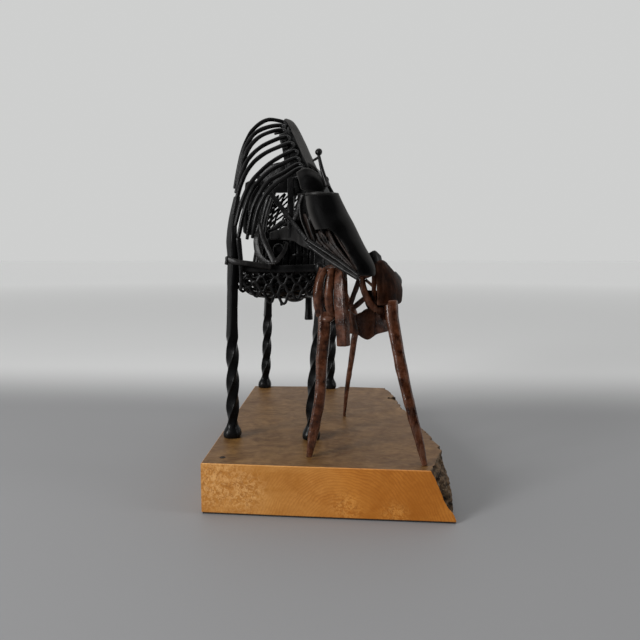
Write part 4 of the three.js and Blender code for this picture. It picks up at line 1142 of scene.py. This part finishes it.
trim("foal_haunch_bar", "rusted_iron",
     sweep([(1, -126, 217), (-3, -130, 208), (-5.2, -131.5, 196), (-5.4, -131, 184), (-3, -130, 174)],
           [5, 6.6, 7.4, 8, 8.6], [5, 6, 6, 6, 5], corner=2.8, around=22, hammer=0.3, seed=21),
     blob((3, -131, 171.5), 12.5, (1, 0.8, 0.55), 22, 0.2))
trim("foal_croup_lump", "rusted_iron",
     blob((7, -123, 215), 15, (1.1, 0.9, 0.55), 24, 0.25),
     blob((20, -121, 215), 13, (1.1, 0.9, 0.5), 25, 0.25))
count_pieces("the foal's left haunch")

# %% [markdown]
# The right haunch is one curved plate with a small pinched tab on top and a black flank plate behind it. A
# folded sheet closes the groin, and rods brace the gap between the two sides. The haunch lies in the shade
# of the mare, and that shade is painted into its rust: it wears a darker, duller copy, painted shade.

# %% The foal's right haunch, groin and braces
# The haunch wears the darker copy of the rust: painted shade from the mare above it.
forge("foal_haunch_right", "rusted_iron", sheet([
    [(46, -130, 222), (50, -124, 225), (54, -112, 223), (58, -96, 217)],
    [(47, -134, 208), (57, -126, 211), (63, -110, 212), (66, -94, 208)],
    [(47.5, -135, 196), (60, -128, 196), (69, -108, 195), (71, -92, 197)],
    [(48, -134, 185), (59, -130, 185), (69, -106, 185), (70, -96, 188)],
], spacing=1.4, thickness=3, dent=0.7, dent_size=13), finish="rust_in_painted_shade")
forge("foal_flank_plate", "rusted_iron", sheet([
    [(60, -86, 214), (66, -76, 213), (66, -60, 211)],
    [(66, -84, 206), (72, -72, 205), (70, -56, 204)],
    [(65, -84, 193), (71, -72, 195), (68, -58, 196)],
], thickness=2), finish="black_iron")
forge("foal_hip_tab", "rusted_iron", sheet([
    [(39, -121, 230), (42, -122, 232), (45, -122.5, 233.5), (48, -121.5, 231), (51, -119, 228)],
    [(39.5, -122, 226), (43, -125, 226.5), (46, -126, 226.5), (49, -124, 226), (52, -120, 224)],
    [(41, -124, 220), (44, -127, 220), (46, -128.5, 220), (49, -127, 221), (53, -122, 221)],
], spacing=1.2, thickness=1.8, dent=0.3, dent_size=6), finish="grey_iron")
forge("foal_groin_plate", "rusted_iron", sheet([
    [(21, -115, 178), (30, -118, 174), (39, -116, 180), (48, -112, 179), (57, -106, 176)],
    [(21, -115, 157), (30, -117, 156), (39, -117, 151), (48, -113, 156), (59, -106, 158)],
], spacing=1.5), sheet([
    [(20, -117, 180), (24, -122, 177), (27, -120, 174)],
    [(20, -116, 166), (27, -123, 165), (30, -119, 165)],
    [(21, -115, 157), (29, -122, 157), (32, -118, 156)],
], spacing=1.4, thickness=2))
# The socket also wears the darker copy of the rust, painted shade.
trim("foal_socket", "rusted_iron", blob((51, -122, 178), 9, (1, 0.6, 0.8), 27, 0.2),
     sheet([
         [(36, -112, 197), (46, -111, 197), (56, -112, 197)],
         [(37, -112, 185), (48, -111, 180), (60, -112, 176)],
         [(42, -112, 177), (50, -111, 172), (60, -112, 168)],
     ], thickness=1.8), finish="rust_in_painted_shade")
BRACES = [
    ([(33, -121, 209), (34.5, -122, 202), (37, -123, 194), (41.5, -122, 186), (48, -119, 178.5)], 6.4, 2.6),
    ([(31, -119, 206), (23, -117, 183)], 4.8, 5),
    ([(38, -120, 191), (24, -117, 179)], 4.6, 5),
    ([(37, -119, 207), (45, -118, 200)], 3, 4),
    ([(45, -119, 216), (45, -118, 200), (44.5, -118, 182)], 4.4, 6),
    ([(31, -118, 209), (39, -119, 211), (47, -118, 214)], 5, 4),
]
forge("foal_braces", "rusted_iron",
      *[sweep(route, width, 3.6, corner=corner, around=18, hammer=0.3, spacing=1.4, seed=k)
        for k, (route, width, corner) in enumerate(BRACES)])
count_pieces("the foal's hindquarters")

# %% [markdown]
# An open barrel of straps runs away from the viewer to a small head under the mare's flank. A sheet makes the
# back, and the straps of each side bend round from it, so each side is a short list of routes.

# %% The foal's barrel, neck and head
forge("foal_back", "rusted_iron", sheet([
    [(-1, -122, 216), (12, -124, 218), (28, -124, 220), (44, -120, 220)],
    [(-1, -104, 218), (12, -104, 221), (28, -104, 222), (46, -104, 220)],
    [(3, -70, 215), (11, -70, 216), (19, -70, 216), (27, -70, 214)],
    [(1, -30, 212), (5, -30, 213), (9, -30, 213), (14, -30, 212)],
    [(0, 8, 210), (3, 8, 211), (6, 8, 211), (10, 8, 210)],
]))
STRAPS = {
    "foal_ribs_left": [
        ([(6, -84, 213), (-6, -85, 206), (-10, -86, 190), (-5, -85, 174), (16, -84, 165)], 5, (-1, 0, 0)),
        ([(5, -44, 211), (-7, -44, 204), (-11, -44, 190), (-6, -44, 175), (10, -44, 166)], 5, (-1, 0, 0)),
        ([(-9, -90, 188), (-11, -60, 190), (-9, -20, 190), (-3, -4, 190)], 5, (-1, 0, 0)),
    ],
    "foal_ribs_right": [
        ([(32, -84, 214), (52, -84, 213), (60, -84, 198), (55, -84, 178), (34, -84, 165)], 5, (1, 0, 0.2)),
        ([(22, -50, 213), (46, -50, 212), (54, -50, 198), (49, -50, 178), (27, -50, 167)], 5, (1, 0, 0.2)),
        ([(63.5, -98, 198), (60, -70, 199), (53.2, -41, 199.5)], 5, (1, 0, 0.1)),
        ([(38, -110, 161), (30, -70, 164), (18, -30, 164), (5, 2, 167)], 8, (0, 0, 1)),
    ],
}
for node, straps in STRAPS.items():
    forge(node, "rusted_iron", *[sweep(route, width, 2.6, face=face, corner=5, hammer=0.25, seed=k)
                                 for k, (route, width, face) in enumerate(straps)])
forge("foal_neck", "rusted_iron",
      sweep([(5, 8, 203), (2, 24, 207), (-2, 40, 207)], [15, 13, 11], [12, 9, 9], face=(0, 0, 1), around=20))
forge("foal_head", "rusted_iron",
      sweep([(-2, 38, 208), (-7, 58, 200), (-12, 77, 186), (-17, 94, 173)], [15, 14, 11, 9], [13, 15, 11, 8],
            face=(0, 0, 1), corner=2.6, around=20, bevel=2.5),
      sweep([(-6, 44, 209), (-9, 45, 219), (-10, 43, 226)], 3, around=10),
      sweep([(3, 44, 209), (6, 45, 219), (7, 43, 226)], 3, around=10))
count_pieces("the foal")

# %% [markdown]
# ## Finishes
# Every finish is made of nodes, and what several of them share is a node group. A few small helpers keep the
# node code short. The first makes a node, sets its options and fills each input with a value or a link.

# %% Make and fill nodes


def fill_socket(tree, socket, value):
    """Link another node's output to a socket, or set the socket's own value."""
    if isinstance(value, bpy.types.NodeSocket):
        tree.links.new(value, socket)
    elif socket.type == "RGBA":
        socket.default_value = (*value, 1)
    else:
        socket.default_value = value


def add_node(tree, kind, inputs=None, **options):
    """A new node. inputs maps socket names or numbers to values or to other nodes' outputs."""
    node = tree.nodes.new(kind)
    for option, value in options.items():
        setattr(node, option, value)
    for socket, value in (inputs or {}).items():
        fill_socket(tree, node.inputs[socket], value)
    return node


def new_group(name, inputs, outputs):
    """A node group with float sockets. inputs maps names to defaults, and outputs is a list of names."""
    group = bpy.data.node_groups.new(name, "ShaderNodeTree")
    for label, default in inputs.items():
        socket = group.interface.new_socket(label, in_out="INPUT", socket_type="NodeSocketFloat")
        socket.default_value = default
    for label in outputs:
        group.interface.new_socket(label, in_out="OUTPUT", socket_type="NodeSocketFloat")
    return group, add_node(group, "NodeGroupInput").outputs


def place_group(tree, group, **values):
    """A group set into a tree. An underline in a value's name stands for a space."""
    inputs = {name.replace("_", " "): value for name, value in values.items()}
    return add_node(tree, "ShaderNodeGroup", inputs, node_tree=group)


print("finishes and pieces that wait for one:", len(finishes), len(wears))

# %% [markdown]
# The next helpers are the steps that nearly every finish takes: find the place on the object, stretch it,
# read a noise there, turn that into a mask, and blend two colours by the mask. Colours are plain linear red,
# green and blue.

# %% Places, masks and blends


def object_place(tree):
    """The place on the object, in metres."""
    return add_node(tree, "ShaderNodeTexCoord").outputs["Object"]


def stretched(tree, place, scale, rotation=(0, 0, 0), location=(0, 0, 0)):
    """A place turned, moved and scaled, so that a noise read there comes out long or slanted."""
    return add_node(tree, "ShaderNodeMapping", {"Vector": place, "Scale": scale, "Rotation": rotation,
                                                "Location": location}).outputs[0]


def noise_of(tree, place, scale, detail=4.0, roughness=0.55, distortion=0.0):
    """A cloudy value about one half, read at a place."""
    return add_node(tree, "ShaderNodeTexNoise", {"Vector": place, "Scale": scale, "Detail": detail,
                                                 "Roughness": roughness, "Distortion": distortion}).outputs[0]


def remap(tree, value, low, high, to_low=0.0, to_high=1.0, **options):
    """The value with low and high moved to two new numbers, and held between them."""
    return add_node(tree, "ShaderNodeMapRange", {0: value, 1: low, 2: high, 3: to_low, 4: to_high},
                    **options).outputs[0]


def soft_step(tree, value, low, high):
    """A mask that rises from 0 to 1 without a corner at either end."""
    return remap(tree, value, low, high, interpolation_type="SMOOTHSTEP")


def calculate(tree, operation, a, b=0.5):
    """A sum, product or the like of two values."""
    return add_node(tree, "ShaderNodeMath", {0: a, 1: b}, operation=operation).outputs[0]


def combine(tree, operation, a, b=(0, 0, 0), scale=1.0):
    """The vector node for two places, such as their sum or the distance between them."""
    return add_node(tree, "ShaderNodeVectorMath", {0: a, 1: b, 3: scale}, operation=operation)


def blend_colours(tree, share, a, b, mode="MIX"):
    """Colour b laid over colour a, as far as the share says."""
    return add_node(tree, "ShaderNodeMix", {0: share, 6: a, 7: b}, data_type="RGBA",
                    blend_type=mode).outputs[2]


def finish_of(name, rough=0.5, specular=0.5):
    """A new material. Gives its node tree and its Principled shader."""
    material = bpy.data.materials.new(name)
    material.use_nodes = True
    finishes[name] = material
    shader = material.node_tree.nodes["Principled BSDF"]
    shader.inputs["Roughness"].default_value = rough
    shader.inputs["Specular IOR Level"].default_value = specular
    return material.node_tree, shader


def colour_and_relief(tree, shader, colour, height, strength, distance):
    """Gives the shader its colour, and bumps from a height."""
    relief = add_node(tree, "ShaderNodeBump", {"Height": height, "Strength": strength, "Distance": distance})
    fill_socket(tree, shader.inputs["Base Color"], colour)
    fill_socket(tree, shader.inputs["Normal"], relief.outputs[0])


print("helpers for finishes are ready")

# %% [markdown]
# Forge scale is the thin black skin that hot iron grows. It is blotchy over a centimetre or so, pitted finely
# and streaked by wax. Edges wear brighter: the mesh is dense enough for the pointiness of its corners to say
# where.

# %% The group for forge scale
HAMMER_MARKS, STREAK_MARKS = 160, 260
EDGE_FROM, EDGE_TO = 0.51, 0.6


def forge_scale_group():
    """Forge scale gives its blotches, its height, the worn edges and the streaks of wax."""
    group, given = new_group("forge_scale", {"Blotch Size": 60.0, "Pit Size": 700.0, "Wear": 0.5},
                             ["Blotch", "Height", "Worn", "Streak"])
    place = object_place(group)
    blotch = noise_of(group, place, given["Blotch Size"], 5, 0.6)
    pits = add_node(group, "ShaderNodeTexVoronoi", {"Vector": place, "Scale": given["Pit Size"]}).outputs[0]
    fine = noise_of(group, place, given["Pit Size"], 3, 0.7)
    hammered = noise_of(group, place, HAMMER_MARKS, 2, 0.5)
    height = calculate(group, "ADD", calculate(group, "MULTIPLY", remap(group, pits, 0, 0.5), 0.25),
                       calculate(group, "MULTIPLY", fine, 0.35))
    height = calculate(group, "ADD", height, calculate(group, "MULTIPLY", hammered, 1.4))
    edge = remap(group, add_node(group, "ShaderNodeNewGeometry").outputs["Pointiness"], EDGE_FROM, EDGE_TO)
    worn = calculate(group, "MULTIPLY", calculate(group, "MULTIPLY", edge, remap(group, blotch, 0.35, 0.65)),
                     given["Wear"])
    streak = noise_of(group, stretched(group, place, (1, 1, 0.12)), STREAK_MARKS, 3, 0.6)
    add_node(group, "NodeGroupOutput", {"Blotch": blotch, "Height": height, "Worn": worn, "Streak": streak})
    return group


forge_scale = forge_scale_group()
print("forge scale has", len(forge_scale.nodes), "nodes")

# %% [markdown]
# Six finishes of iron share that scale. The mare's bars are waxed black over it, her face and neck are sooty,
# small parts of her chest and head show grey steel, and the scrap in her mouth turns brown. The foal is the
# same iron gone to rust; on its right haunch the rust is a darker, duller copy, painted shade from the mare
# above it. Each finish is a row: a dark and a light colour for the blotches, a bright one for worn places,
# the two ends of the roughness, and how strongly the worn edges, streaks and bumps show. Soot reflects almost
# nothing straight on, so that finish has a painted sheen: seen at a glancing angle, its colour turns to the
# bright worn one, a painted rim highlight.

# %% Black, grey and rusted iron
PIT_SIZE = 650.0
IRON_RELIEF = 0.0006
IRONS = {
    "black_iron": dict(dark=(0.0008, 0.0008, 0.0009), light=(0.0034, 0.0033, 0.0034),
                       worn=(0.04, 0.039, 0.039), rough=(0.24, 0.36), wear=0.6, specular=0.13),
    # Soot's rim setting paints a sheen where it is seen at a glancing angle: a painted highlight.
    "soot_iron": dict(dark=(0.0006, 0.0006, 0.0006), light=(0.0018, 0.0017, 0.0018),
                      worn=(0.06, 0.058, 0.056), rough=(0.42, 0.55), wear=0.5, specular=0.028, rim=0.9),
    "grey_iron": dict(dark=(0.0018, 0.0017, 0.0017), light=(0.0085, 0.008, 0.0078),
                      worn=(0.075, 0.071, 0.069), rough=(0.27, 0.4), wear=0.45, specular=0.15, streaks=0.15),
    "brown_iron": dict(dark=(0.0024, 0.0013, 0.0009), light=(0.0145, 0.0085, 0.0063),
                       worn=(0.085, 0.065, 0.057), rough=(0.32, 0.46), wear=0.55, specular=0.1, streaks=0.2,
                       blotch=120.0, bump=0.5),
    "rusted_iron": dict(dark=(0.012, 0.003, 0.0011), light=(0.078, 0.0238, 0.009), worn=(0.17, 0.085, 0.055),
                        rough=(0.17, 0.34), wear=0.9, specular=0.26, streaks=0.3, blotch=120.0, bump=0.6),
    # A darker, duller copy of the rust: painted shade for the pieces in the mare's shade.
    "rust_in_painted_shade": dict(dark=(0.0048, 0.0012, 0.0004), light=(0.024, 0.0075, 0.003), worn=(0.11, 0.055, 0.037),
                      rough=(0.5, 0.62), wear=0.8, specular=0.025, streaks=0.2, blotch=120.0, bump=0.6),
}


def iron_finish(name, dark, light, worn, rough, wear, specular, streaks=0.0, blotch=60.0, bump=0.35, rim=0.0):
    """Blotches of two colours, then streaks, worn edges and a painted rim sheen in a third one."""
    tree, shader = finish_of(name, specular=specular)
    scale = place_group(tree, forge_scale, Blotch_Size=blotch, Pit_Size=PIT_SIZE, Wear=wear).outputs
    colour = blend_colours(tree, remap(tree, scale["Blotch"], 0.36, 0.64), dark, light)
    if streaks:
        mask = calculate(tree, "MULTIPLY", remap(tree, scale["Streak"], 0.5, 0.68), streaks)
        colour = blend_colours(tree, mask, colour, worn)
    colour = blend_colours(tree, scale["Worn"], colour, worn)
    # The rim is a painted sheen: toward a glancing view the colour turns to the worn one, a painted
    # highlight.
    if rim:
        painted_sheen_facing = add_node(tree, "ShaderNodeLayerWeight", {"Blend": 0.5}).outputs["Facing"]
        colour = blend_colours(tree, remap(tree, painted_sheen_facing, 0.18, 0.75, 0.0, rim), colour, worn)
    fill_socket(tree, shader.inputs["Roughness"], remap(tree, scale["Blotch"], 0.3, 0.7, *rough))
    colour_and_relief(tree, shader, colour, scale["Height"], bump, IRON_RELIEF)


for name, look in IRONS.items():
    iron_finish(name, **look)
print("finishes of iron:", len(finishes))

# %% [markdown]
# ## Wood
# The sawn front shows growth rings round a heart that lies below the slab, and small burl eyes that the rings
# flow around. A ring is a saw tooth of the distance from the heart: it darkens slowly through the summer and
# ends sharply. Noise moves the place about before the distance is measured, first widely and then finely, so
# that the rings wander like burl.

# %% The group for growth rings
HEART_X, HEART_Z = 19, -23
RING_SPACING = 2.5


def shaken(tree, place, scale, reach, detail=4.0):
    """A place moved about by noise, by up to half the reach each way."""
    noise = add_node(tree, "ShaderNodeTexNoise", {"Vector": place, "Scale": scale, "Detail": detail})
    away = combine(tree, "SUBTRACT", noise.outputs["Color"], (0.5, 0.5, 0.5)).outputs[0]
    away = combine(tree, "SCALE", away, scale=reach).outputs[0]
    return combine(tree, "ADD", place, away).outputs[0]


def growth_ring_group():
    """Growth rings give the dark lines, the burl eyes and a silky figure."""
    group, given = new_group("growth_rings", {"Wobble": 0.004, "Eye Size": 90.0}, ["Rings", "Eyes", "Figure"])
    place = object_place(group)
    bent = shaken(group, place, 14.0, given["Wobble"])
    rippled = shaken(group, shaken(group, bent, 45.0, 0.007), 130.0, 0.003)
    flat = stretched(group, rippled, (1, 0.04, 1), location=(-HEART_X * MM, 0, -HEART_Z * MM))
    radius = combine(group, "LENGTH", flat).outputs["Value"]
    saw = calculate(group, "FRACT", calculate(group, "MULTIPLY", radius, 1 / (RING_SPACING * MM)))
    late = soft_step(group, saw, 0.45, 0.97)
    early = remap(group, saw, 0.0, 0.12, 1.0, 0.0)
    rings = calculate(group, "MAXIMUM", calculate(group, "MULTIPLY", late, 0.8), early)
    curled = shaken(group, place, 210.0, 0.013, 3.0)
    cells = add_node(group, "ShaderNodeTexVoronoi", {"Vector": curled, "Scale": given["Eye Size"]}).outputs[0]
    eyes = calculate(group, "MULTIPLY", remap(group, cells, 0.1, 0.24), remap(group, cells, 0.46, 0.28))
    figure = noise_of(group, stretched(group, bent, (9, 60, 30), (0.3, 0.5, 0.12)), 1.0, 5, 0.6, 0.6)
    add_node(group, "NodeGroupOutput", {"Rings": rings, "Eyes": eyes, "Figure": figure})
    return group


growth_rings = growth_ring_group()
print("growth rings have", len(growth_rings.nodes), "nodes")

# %% [markdown]
# The sawn face is honey coloured with darker late wood. Its eyes crowd in four places, mostly toward the live
# edge, where the wood is also deeper in colour. A thin paler band runs along the top of the sawn face.

# %% Sawn wood
HONEY, PALE_HONEY, DEEPER_HONEY = (0.4, 0.158, 0.024), (0.55, 0.25, 0.06), (0.9, 0.72, 0.42)
LATE_RING, CURL_SHADE, FIGURE_LIGHT = (0.27, 0.086, 0.011), (0.31, 0.11, 0.015), (0.66, 0.34, 0.1)
BURL_LIGHT, EYE_DARK, EDGE_LIGHT = (0.74, 0.42, 0.16), (0.22, 0.075, 0.014), (0.74, 0.48, 0.24)
DEEPER_FROM, DEEPER_TO = -45, 25
EYE_SPOTS = [((-92, -168, 30), 38), ((-70, -169, 22), 30), ((22, -172, 12), 20), ((64, -173, 6), 18)]


def near_spot(tree, place, spot, reach):
    """A soft mask, 1 at a spot and 0 past its reach."""
    away = combine(tree, "DISTANCE", place, [c * MM for c in spot]).outputs["Value"]
    return soft_step(tree, away, reach * MM, reach * MM * 0.2)


def sawn_wood():
    """The front of the slab, as the saw left it."""
    tree, shader = finish_of("sawn_burl", rough=0.55, specular=0.22)
    place = object_place(tree)
    rings = place_group(tree, growth_rings, Wobble=0.016, Eye_Size=210.0).outputs
    cloud = noise_of(tree, place, 22, 4, 0.6, 0.4)
    curl = noise_of(tree, place, 110, 5, 0.65, 1.6)
    colour = blend_colours(tree, remap(tree, cloud, 0.35, 0.68), HONEY, PALE_HONEY)
    arcs = calculate(tree, "MULTIPLY", rings["Rings"], remap(tree, cloud, 0.36, 0.62, 0.08, 0.5))
    colour = blend_colours(tree, arcs, colour, LATE_RING)
    colour = blend_colours(tree, remap(tree, curl, 0.36, 0.62, 0.34, 0.0), colour, CURL_SHADE)
    silk = calculate(tree, "MULTIPLY", remap(tree, rings["Figure"], 0.48, 0.7), 0.5)
    colour = blend_colours(tree, silk, colour, FIGURE_LIGHT)
    spots = near_spot(tree, place, *EYE_SPOTS[0])
    for spot, reach in EYE_SPOTS[1:]:
        spots = calculate(tree, "MAXIMUM", spots, near_spot(tree, place, spot, reach))
    mottle = noise_of(tree, place, 260, 3, 0.6, 1.2)
    eyes = calculate(tree, "MULTIPLY", rings["Eyes"], calculate(tree, "MULTIPLY", spots, 0.45))
    burl = calculate(tree, "MULTIPLY", spots, remap(tree, mottle, 0.42, 0.62, 0.0, 0.6))
    colour = blend_colours(tree, burl, colour, BURL_LIGHT)
    colour = blend_colours(tree, eyes, colour, EYE_DARK)
    apart = add_node(tree, "ShaderNodeSeparateXYZ", {0: place}).outputs
    deeper = remap(tree, apart[0], DEEPER_FROM * MM, DEEPER_TO * MM)
    colour = blend_colours(tree, deeper, colour, DEEPER_HONEY, mode="MULTIPLY")
    edge = remap(tree, apart[2], (SLAB_TOP - 0.9) * MM, (SLAB_TOP - 0.5) * MM, 0.0, 0.13)
    colour = blend_colours(tree, edge, colour, EDGE_LIGHT)
    pores = noise_of(tree, place, 900, 2, 0.7)
    colour_and_relief(tree, shader, colour, calculate(tree, "ADD", pores, rings["Rings"]), 0.15, 0.0003)


sawn_wood()
print("eyes crowd in", len(EYE_SPOTS), "places")

# %% [markdown]
# The top is oiled and polished, so it is darker and browner than the sawn face. Clouds and streaks colour it,
# and a silky figure runs across the grain: that one is noise read through a place stretched threefold.

# %% Polished top
TOP_DARK, TOP_LIGHT, TOP_CLOUD = (0.085, 0.037, 0.0095), (0.185, 0.092, 0.026), (0.088, 0.037, 0.009)
TOP_SILK, TOP_EYE = (0.25, 0.145, 0.055), (0.04, 0.018, 0.008)


def polished_top():
    """The top of the slab under its oil."""
    tree, shader = finish_of("polished_burl", specular=0.2)
    place = object_place(tree)
    eyes = place_group(tree, growth_rings, Wobble=0.02, Eye_Size=110.0).outputs["Eyes"]
    streaks = noise_of(tree, place, 34, 8, 0.68, 1.4)
    silk = noise_of(tree, stretched(tree, place, (60, 170, 60), (0, 0, 0.15)), 1.0, 5, 0.65, 1.6)
    cloud = noise_of(tree, place, 15, 4, 0.62, 1.0)
    colour = blend_colours(tree, remap(tree, streaks, 0.36, 0.64), TOP_DARK, TOP_LIGHT)
    colour = blend_colours(tree, remap(tree, cloud, 0.42, 0.62, 0.0, 0.7), colour, TOP_CLOUD)
    colour = blend_colours(tree, remap(tree, silk, 0.46, 0.68, 0.0, 0.55), colour, TOP_SILK)
    colour = blend_colours(tree, calculate(tree, "MULTIPLY", eyes, 0.1), colour, TOP_EYE)
    fill_socket(tree, shader.inputs["Roughness"], remap(tree, streaks, 0.3, 0.7, 0.55, 0.44))
    colour_and_relief(tree, shader, colour, streaks, 0.1, 0.0004)


polished_top()
print("the top's colours:", TOP_DARK, "to", TOP_LIGHT)

# %% [markdown]
# Bark is dark in its cracks, brown on its plates and pale where lichen dries on them. Its hollows, found
# from the mesh's pointiness, are painted nearly black: partly the bark's own dark and partly painted shade.
# The pad under the slab is black felt, which is all fuzz: a fine noise for both its colour and its height.

# %% Bark and felt
CRACK_BLACK_AND_PAINTED_SHADE, DEEP_BARK, PLATE_BARK = (0.006, 0.004, 0.003), (0.012, 0.0075, 0.0045), (0.15, 0.095, 0.055)
LICHEN = (0.36, 0.28, 0.19)
FELT_DARK, FELT_LIGHT = (0.008, 0.008, 0.008), (0.05, 0.046, 0.042)


def bark_finish():
    """Bark with dark cracks, painted shade in its hollows, and dry lichen."""
    tree, shader = finish_of("bark", rough=0.85, specular=0.15)
    place = object_place(tree)
    crust = noise_of(tree, stretched(tree, place, (1, 0.45, 1)), 170, 6, 0.7, 0.6)
    dry = noise_of(tree, place, 420, 3, 0.6)
    point = add_node(tree, "ShaderNodeNewGeometry").outputs["Pointiness"]
    colour = blend_colours(tree, remap(tree, crust, 0.4, 0.62), DEEP_BARK, PLATE_BARK)
    colour = blend_colours(tree, remap(tree, dry, 0.58, 0.72, 0.0, 0.55), colour, LICHEN)
    # Hollows are painted nearly black: partly the bark's own colour and partly painted shade.
    colour = blend_colours(tree, remap(tree, point, 0.5, 0.4), colour, CRACK_BLACK_AND_PAINTED_SHADE)
    colour_and_relief(tree, shader, colour, crust, 0.8, 0.002)


def felt_finish():
    """Black felt."""
    tree, shader = finish_of("felt", rough=0.95)
    fuzz = noise_of(tree, object_place(tree), 1200, 4, 0.8)
    colour = blend_colours(tree, remap(tree, fuzz, 0.4, 0.65), FELT_DARK, FELT_LIGHT)
    colour_and_relief(tree, shader, colour, fuzz, 0.7, 0.0008)


bark_finish()
felt_finish()
print("finishes:", ", ".join(finishes))

# %% [markdown]
# Every piece now gets its finish. The slab has three, one for its top, one for its sawn faces and one for its
# live edge, and its faces already say which of the three they wear.

# %% Give each piece its finish
for finish in ("polished_burl", "sawn_burl", "bark"):
    slab.data.materials.append(finishes[finish])
felt.data.materials.append(finishes["felt"])
for name, finish in wears.items():
    made[name].data.materials.append(finishes[finish])
print("pieces of iron:", len(wears))

# %% [markdown]
# ## Floor and light
# A plain pale floor runs far back, so that it meets the pale room without a line. Near the sculpture it is
# grey like a table top; behind it and further off it is painted lighter, painted light that makes up for the
# lamps' light falling off with distance.

# %% The floor
FLOOR_REACH = 30
FLOOR_SIDES = 96
FLOOR_NEAR, FLOOR_BEHIND_WITH_PAINTED_LIGHT, FLOOR_FAR_WITH_PAINTED_LIGHT = (0.24, 0.24, 0.245), (0.62, 0.62, 0.62), (0.96, 0.96, 0.96)


def pale_floor():
    """A wide round floor whose colour is painted lighter with distance: painted light against the lamps'
    falloff.
    """
    angle = np.linspace(0, 2 * np.pi, FLOOR_SIDES, endpoint=False)
    ring = [(FLOOR_REACH * math.cos(a), FLOOR_REACH * math.sin(a), 0) for a in angle]
    floor = in_scene("pale_floor", plain_mesh("pale_floor", ring, [tuple(range(FLOOR_SIDES))]))
    tree, shader = finish_of("pale_floor", rough=0.65, specular=0.3)
    place = object_place(tree)
    away = combine(tree, "LENGTH", place).outputs["Value"]
    behind = add_node(tree, "ShaderNodeSeparateXYZ", {0: place}).outputs[1]
    # Painted light: the floor is painted lighter behind the sculpture and far from it, where the lamps light
    # it less.
    paler_with_painted_light = calculate(tree, "MAXIMUM", soft_step(tree, behind, 0.2, 0.6), soft_step(tree, away, 0.8, 2.2))
    colour = blend_colours(tree, paler_with_painted_light, FLOOR_NEAR, FLOOR_BEHIND_WITH_PAINTED_LIGHT)
    colour = blend_colours(tree, remap(tree, away, 1.0, 5.0), colour, FLOOR_FAR_WITH_PAINTED_LIGHT)
    fill_socket(tree, shader.inputs["Base Color"], colour)
    floor.data.materials.append(finishes["pale_floor"])


pale_floor()
print("the floor reaches", FLOOR_REACH, "metres")

# %% [markdown]
# A photographer hangs a dark curtain behind the camera, so that black iron mirrors it and stays black. The
# camera looks straight through this one, so it never shows behind the sculpture from another side.

# %% The dark curtain
CURTAIN_PLACE, CURTAIN_HALF, CURTAIN_TOP = -1.9, 2.6, 2.6
CURTAIN_COLOUR = (0.02, 0.02, 0.02)


def dark_curtain():
    """A dark upright cloth that only reflections and light see."""
    corners = [(x, CURTAIN_PLACE, z) for x, z in ((-CURTAIN_HALF, 0), (CURTAIN_HALF, 0),
                                                  (CURTAIN_HALF, CURTAIN_TOP), (-CURTAIN_HALF, CURTAIN_TOP))]
    curtain = in_scene("dark_curtain", plain_mesh("dark_curtain", corners, [(3, 2, 1, 0)]))
    tree, shader = finish_of("dark_cloth", rough=1)
    fill_socket(tree, shader.inputs["Base Color"], CURTAIN_COLOUR)
    camera_ray = add_node(tree, "ShaderNodeLightPath").outputs["Is Camera Ray"]
    clear = add_node(tree, "ShaderNodeBsdfTransparent").outputs[0]
    both = add_node(tree, "ShaderNodeMixShader", {0: camera_ray, 1: shader.outputs[0], 2: clear}).outputs[0]
    fill_socket(tree, tree.nodes["Material Output"].inputs[0], both)
    curtain.data.materials.append(finishes["dark_cloth"])


dark_curtain()
print("the curtain hangs", -CURTAIN_PLACE, "metres in front")

# %% [markdown]
# A large soft window stands at the left and in front, at the height of the sculpture. It lights the slab's
# sawn front and draws a thin bright line down the left of each bar. A weaker one at the right gives the rim
# on the face, and a wide one overhead fills the shade. Each row gives a light's place, size and power.

# %% Soft lights
AIM = (0, 0, 0.15)
LIGHTS = {
    "window_left": ((-1.25, -1.3, 0.75), (0.5, 0.7), 30),
    "window_right": ((1.35, -0.35, 0.75), (0.3, 0.8), 4),
    "ceiling": ((-0.2, 0.3, 1.9), (1.4, 1.4), 7),
}
ROOM_COLOUR = (0.62, 0.625, 0.62, 1)

for name, (place, size, power) in LIGHTS.items():
    data = bpy.data.lights.new(name, "AREA")
    data.shape = "RECTANGLE"
    data.size, data.size_y = size
    data.energy = power
    light = in_scene(name, data)
    light.location = place
    east, north, up = np.subtract(AIM, place)
    turn = math.atan2(north, east) - math.pi / 2
    light.rotation_euler = (math.atan2(math.hypot(east, north), -up), 0, turn)
world = bpy.data.worlds.new("pale_room")
world.use_nodes = True
world.node_tree.nodes["Background"].inputs[0].default_value = ROOM_COLOUR
world.node_tree.nodes["Background"].inputs[1].default_value = 1
bpy.context.scene.world = world
bpy.context.scene.view_settings.view_transform = "Standard"
print("lights:", ", ".join(LIGHTS))

# %% [markdown]
# ## Triangles
# Every piece's points were held in the box of the solids, in metres, when its mesh was made. The last step
# counts the pieces' triangles.

# %% Count the triangles
bpy.context.view_layer.update()
print("triangles:", sum(sum(len(f.vertices) - 2 for f in p.data.polygons) for p in made.values()))
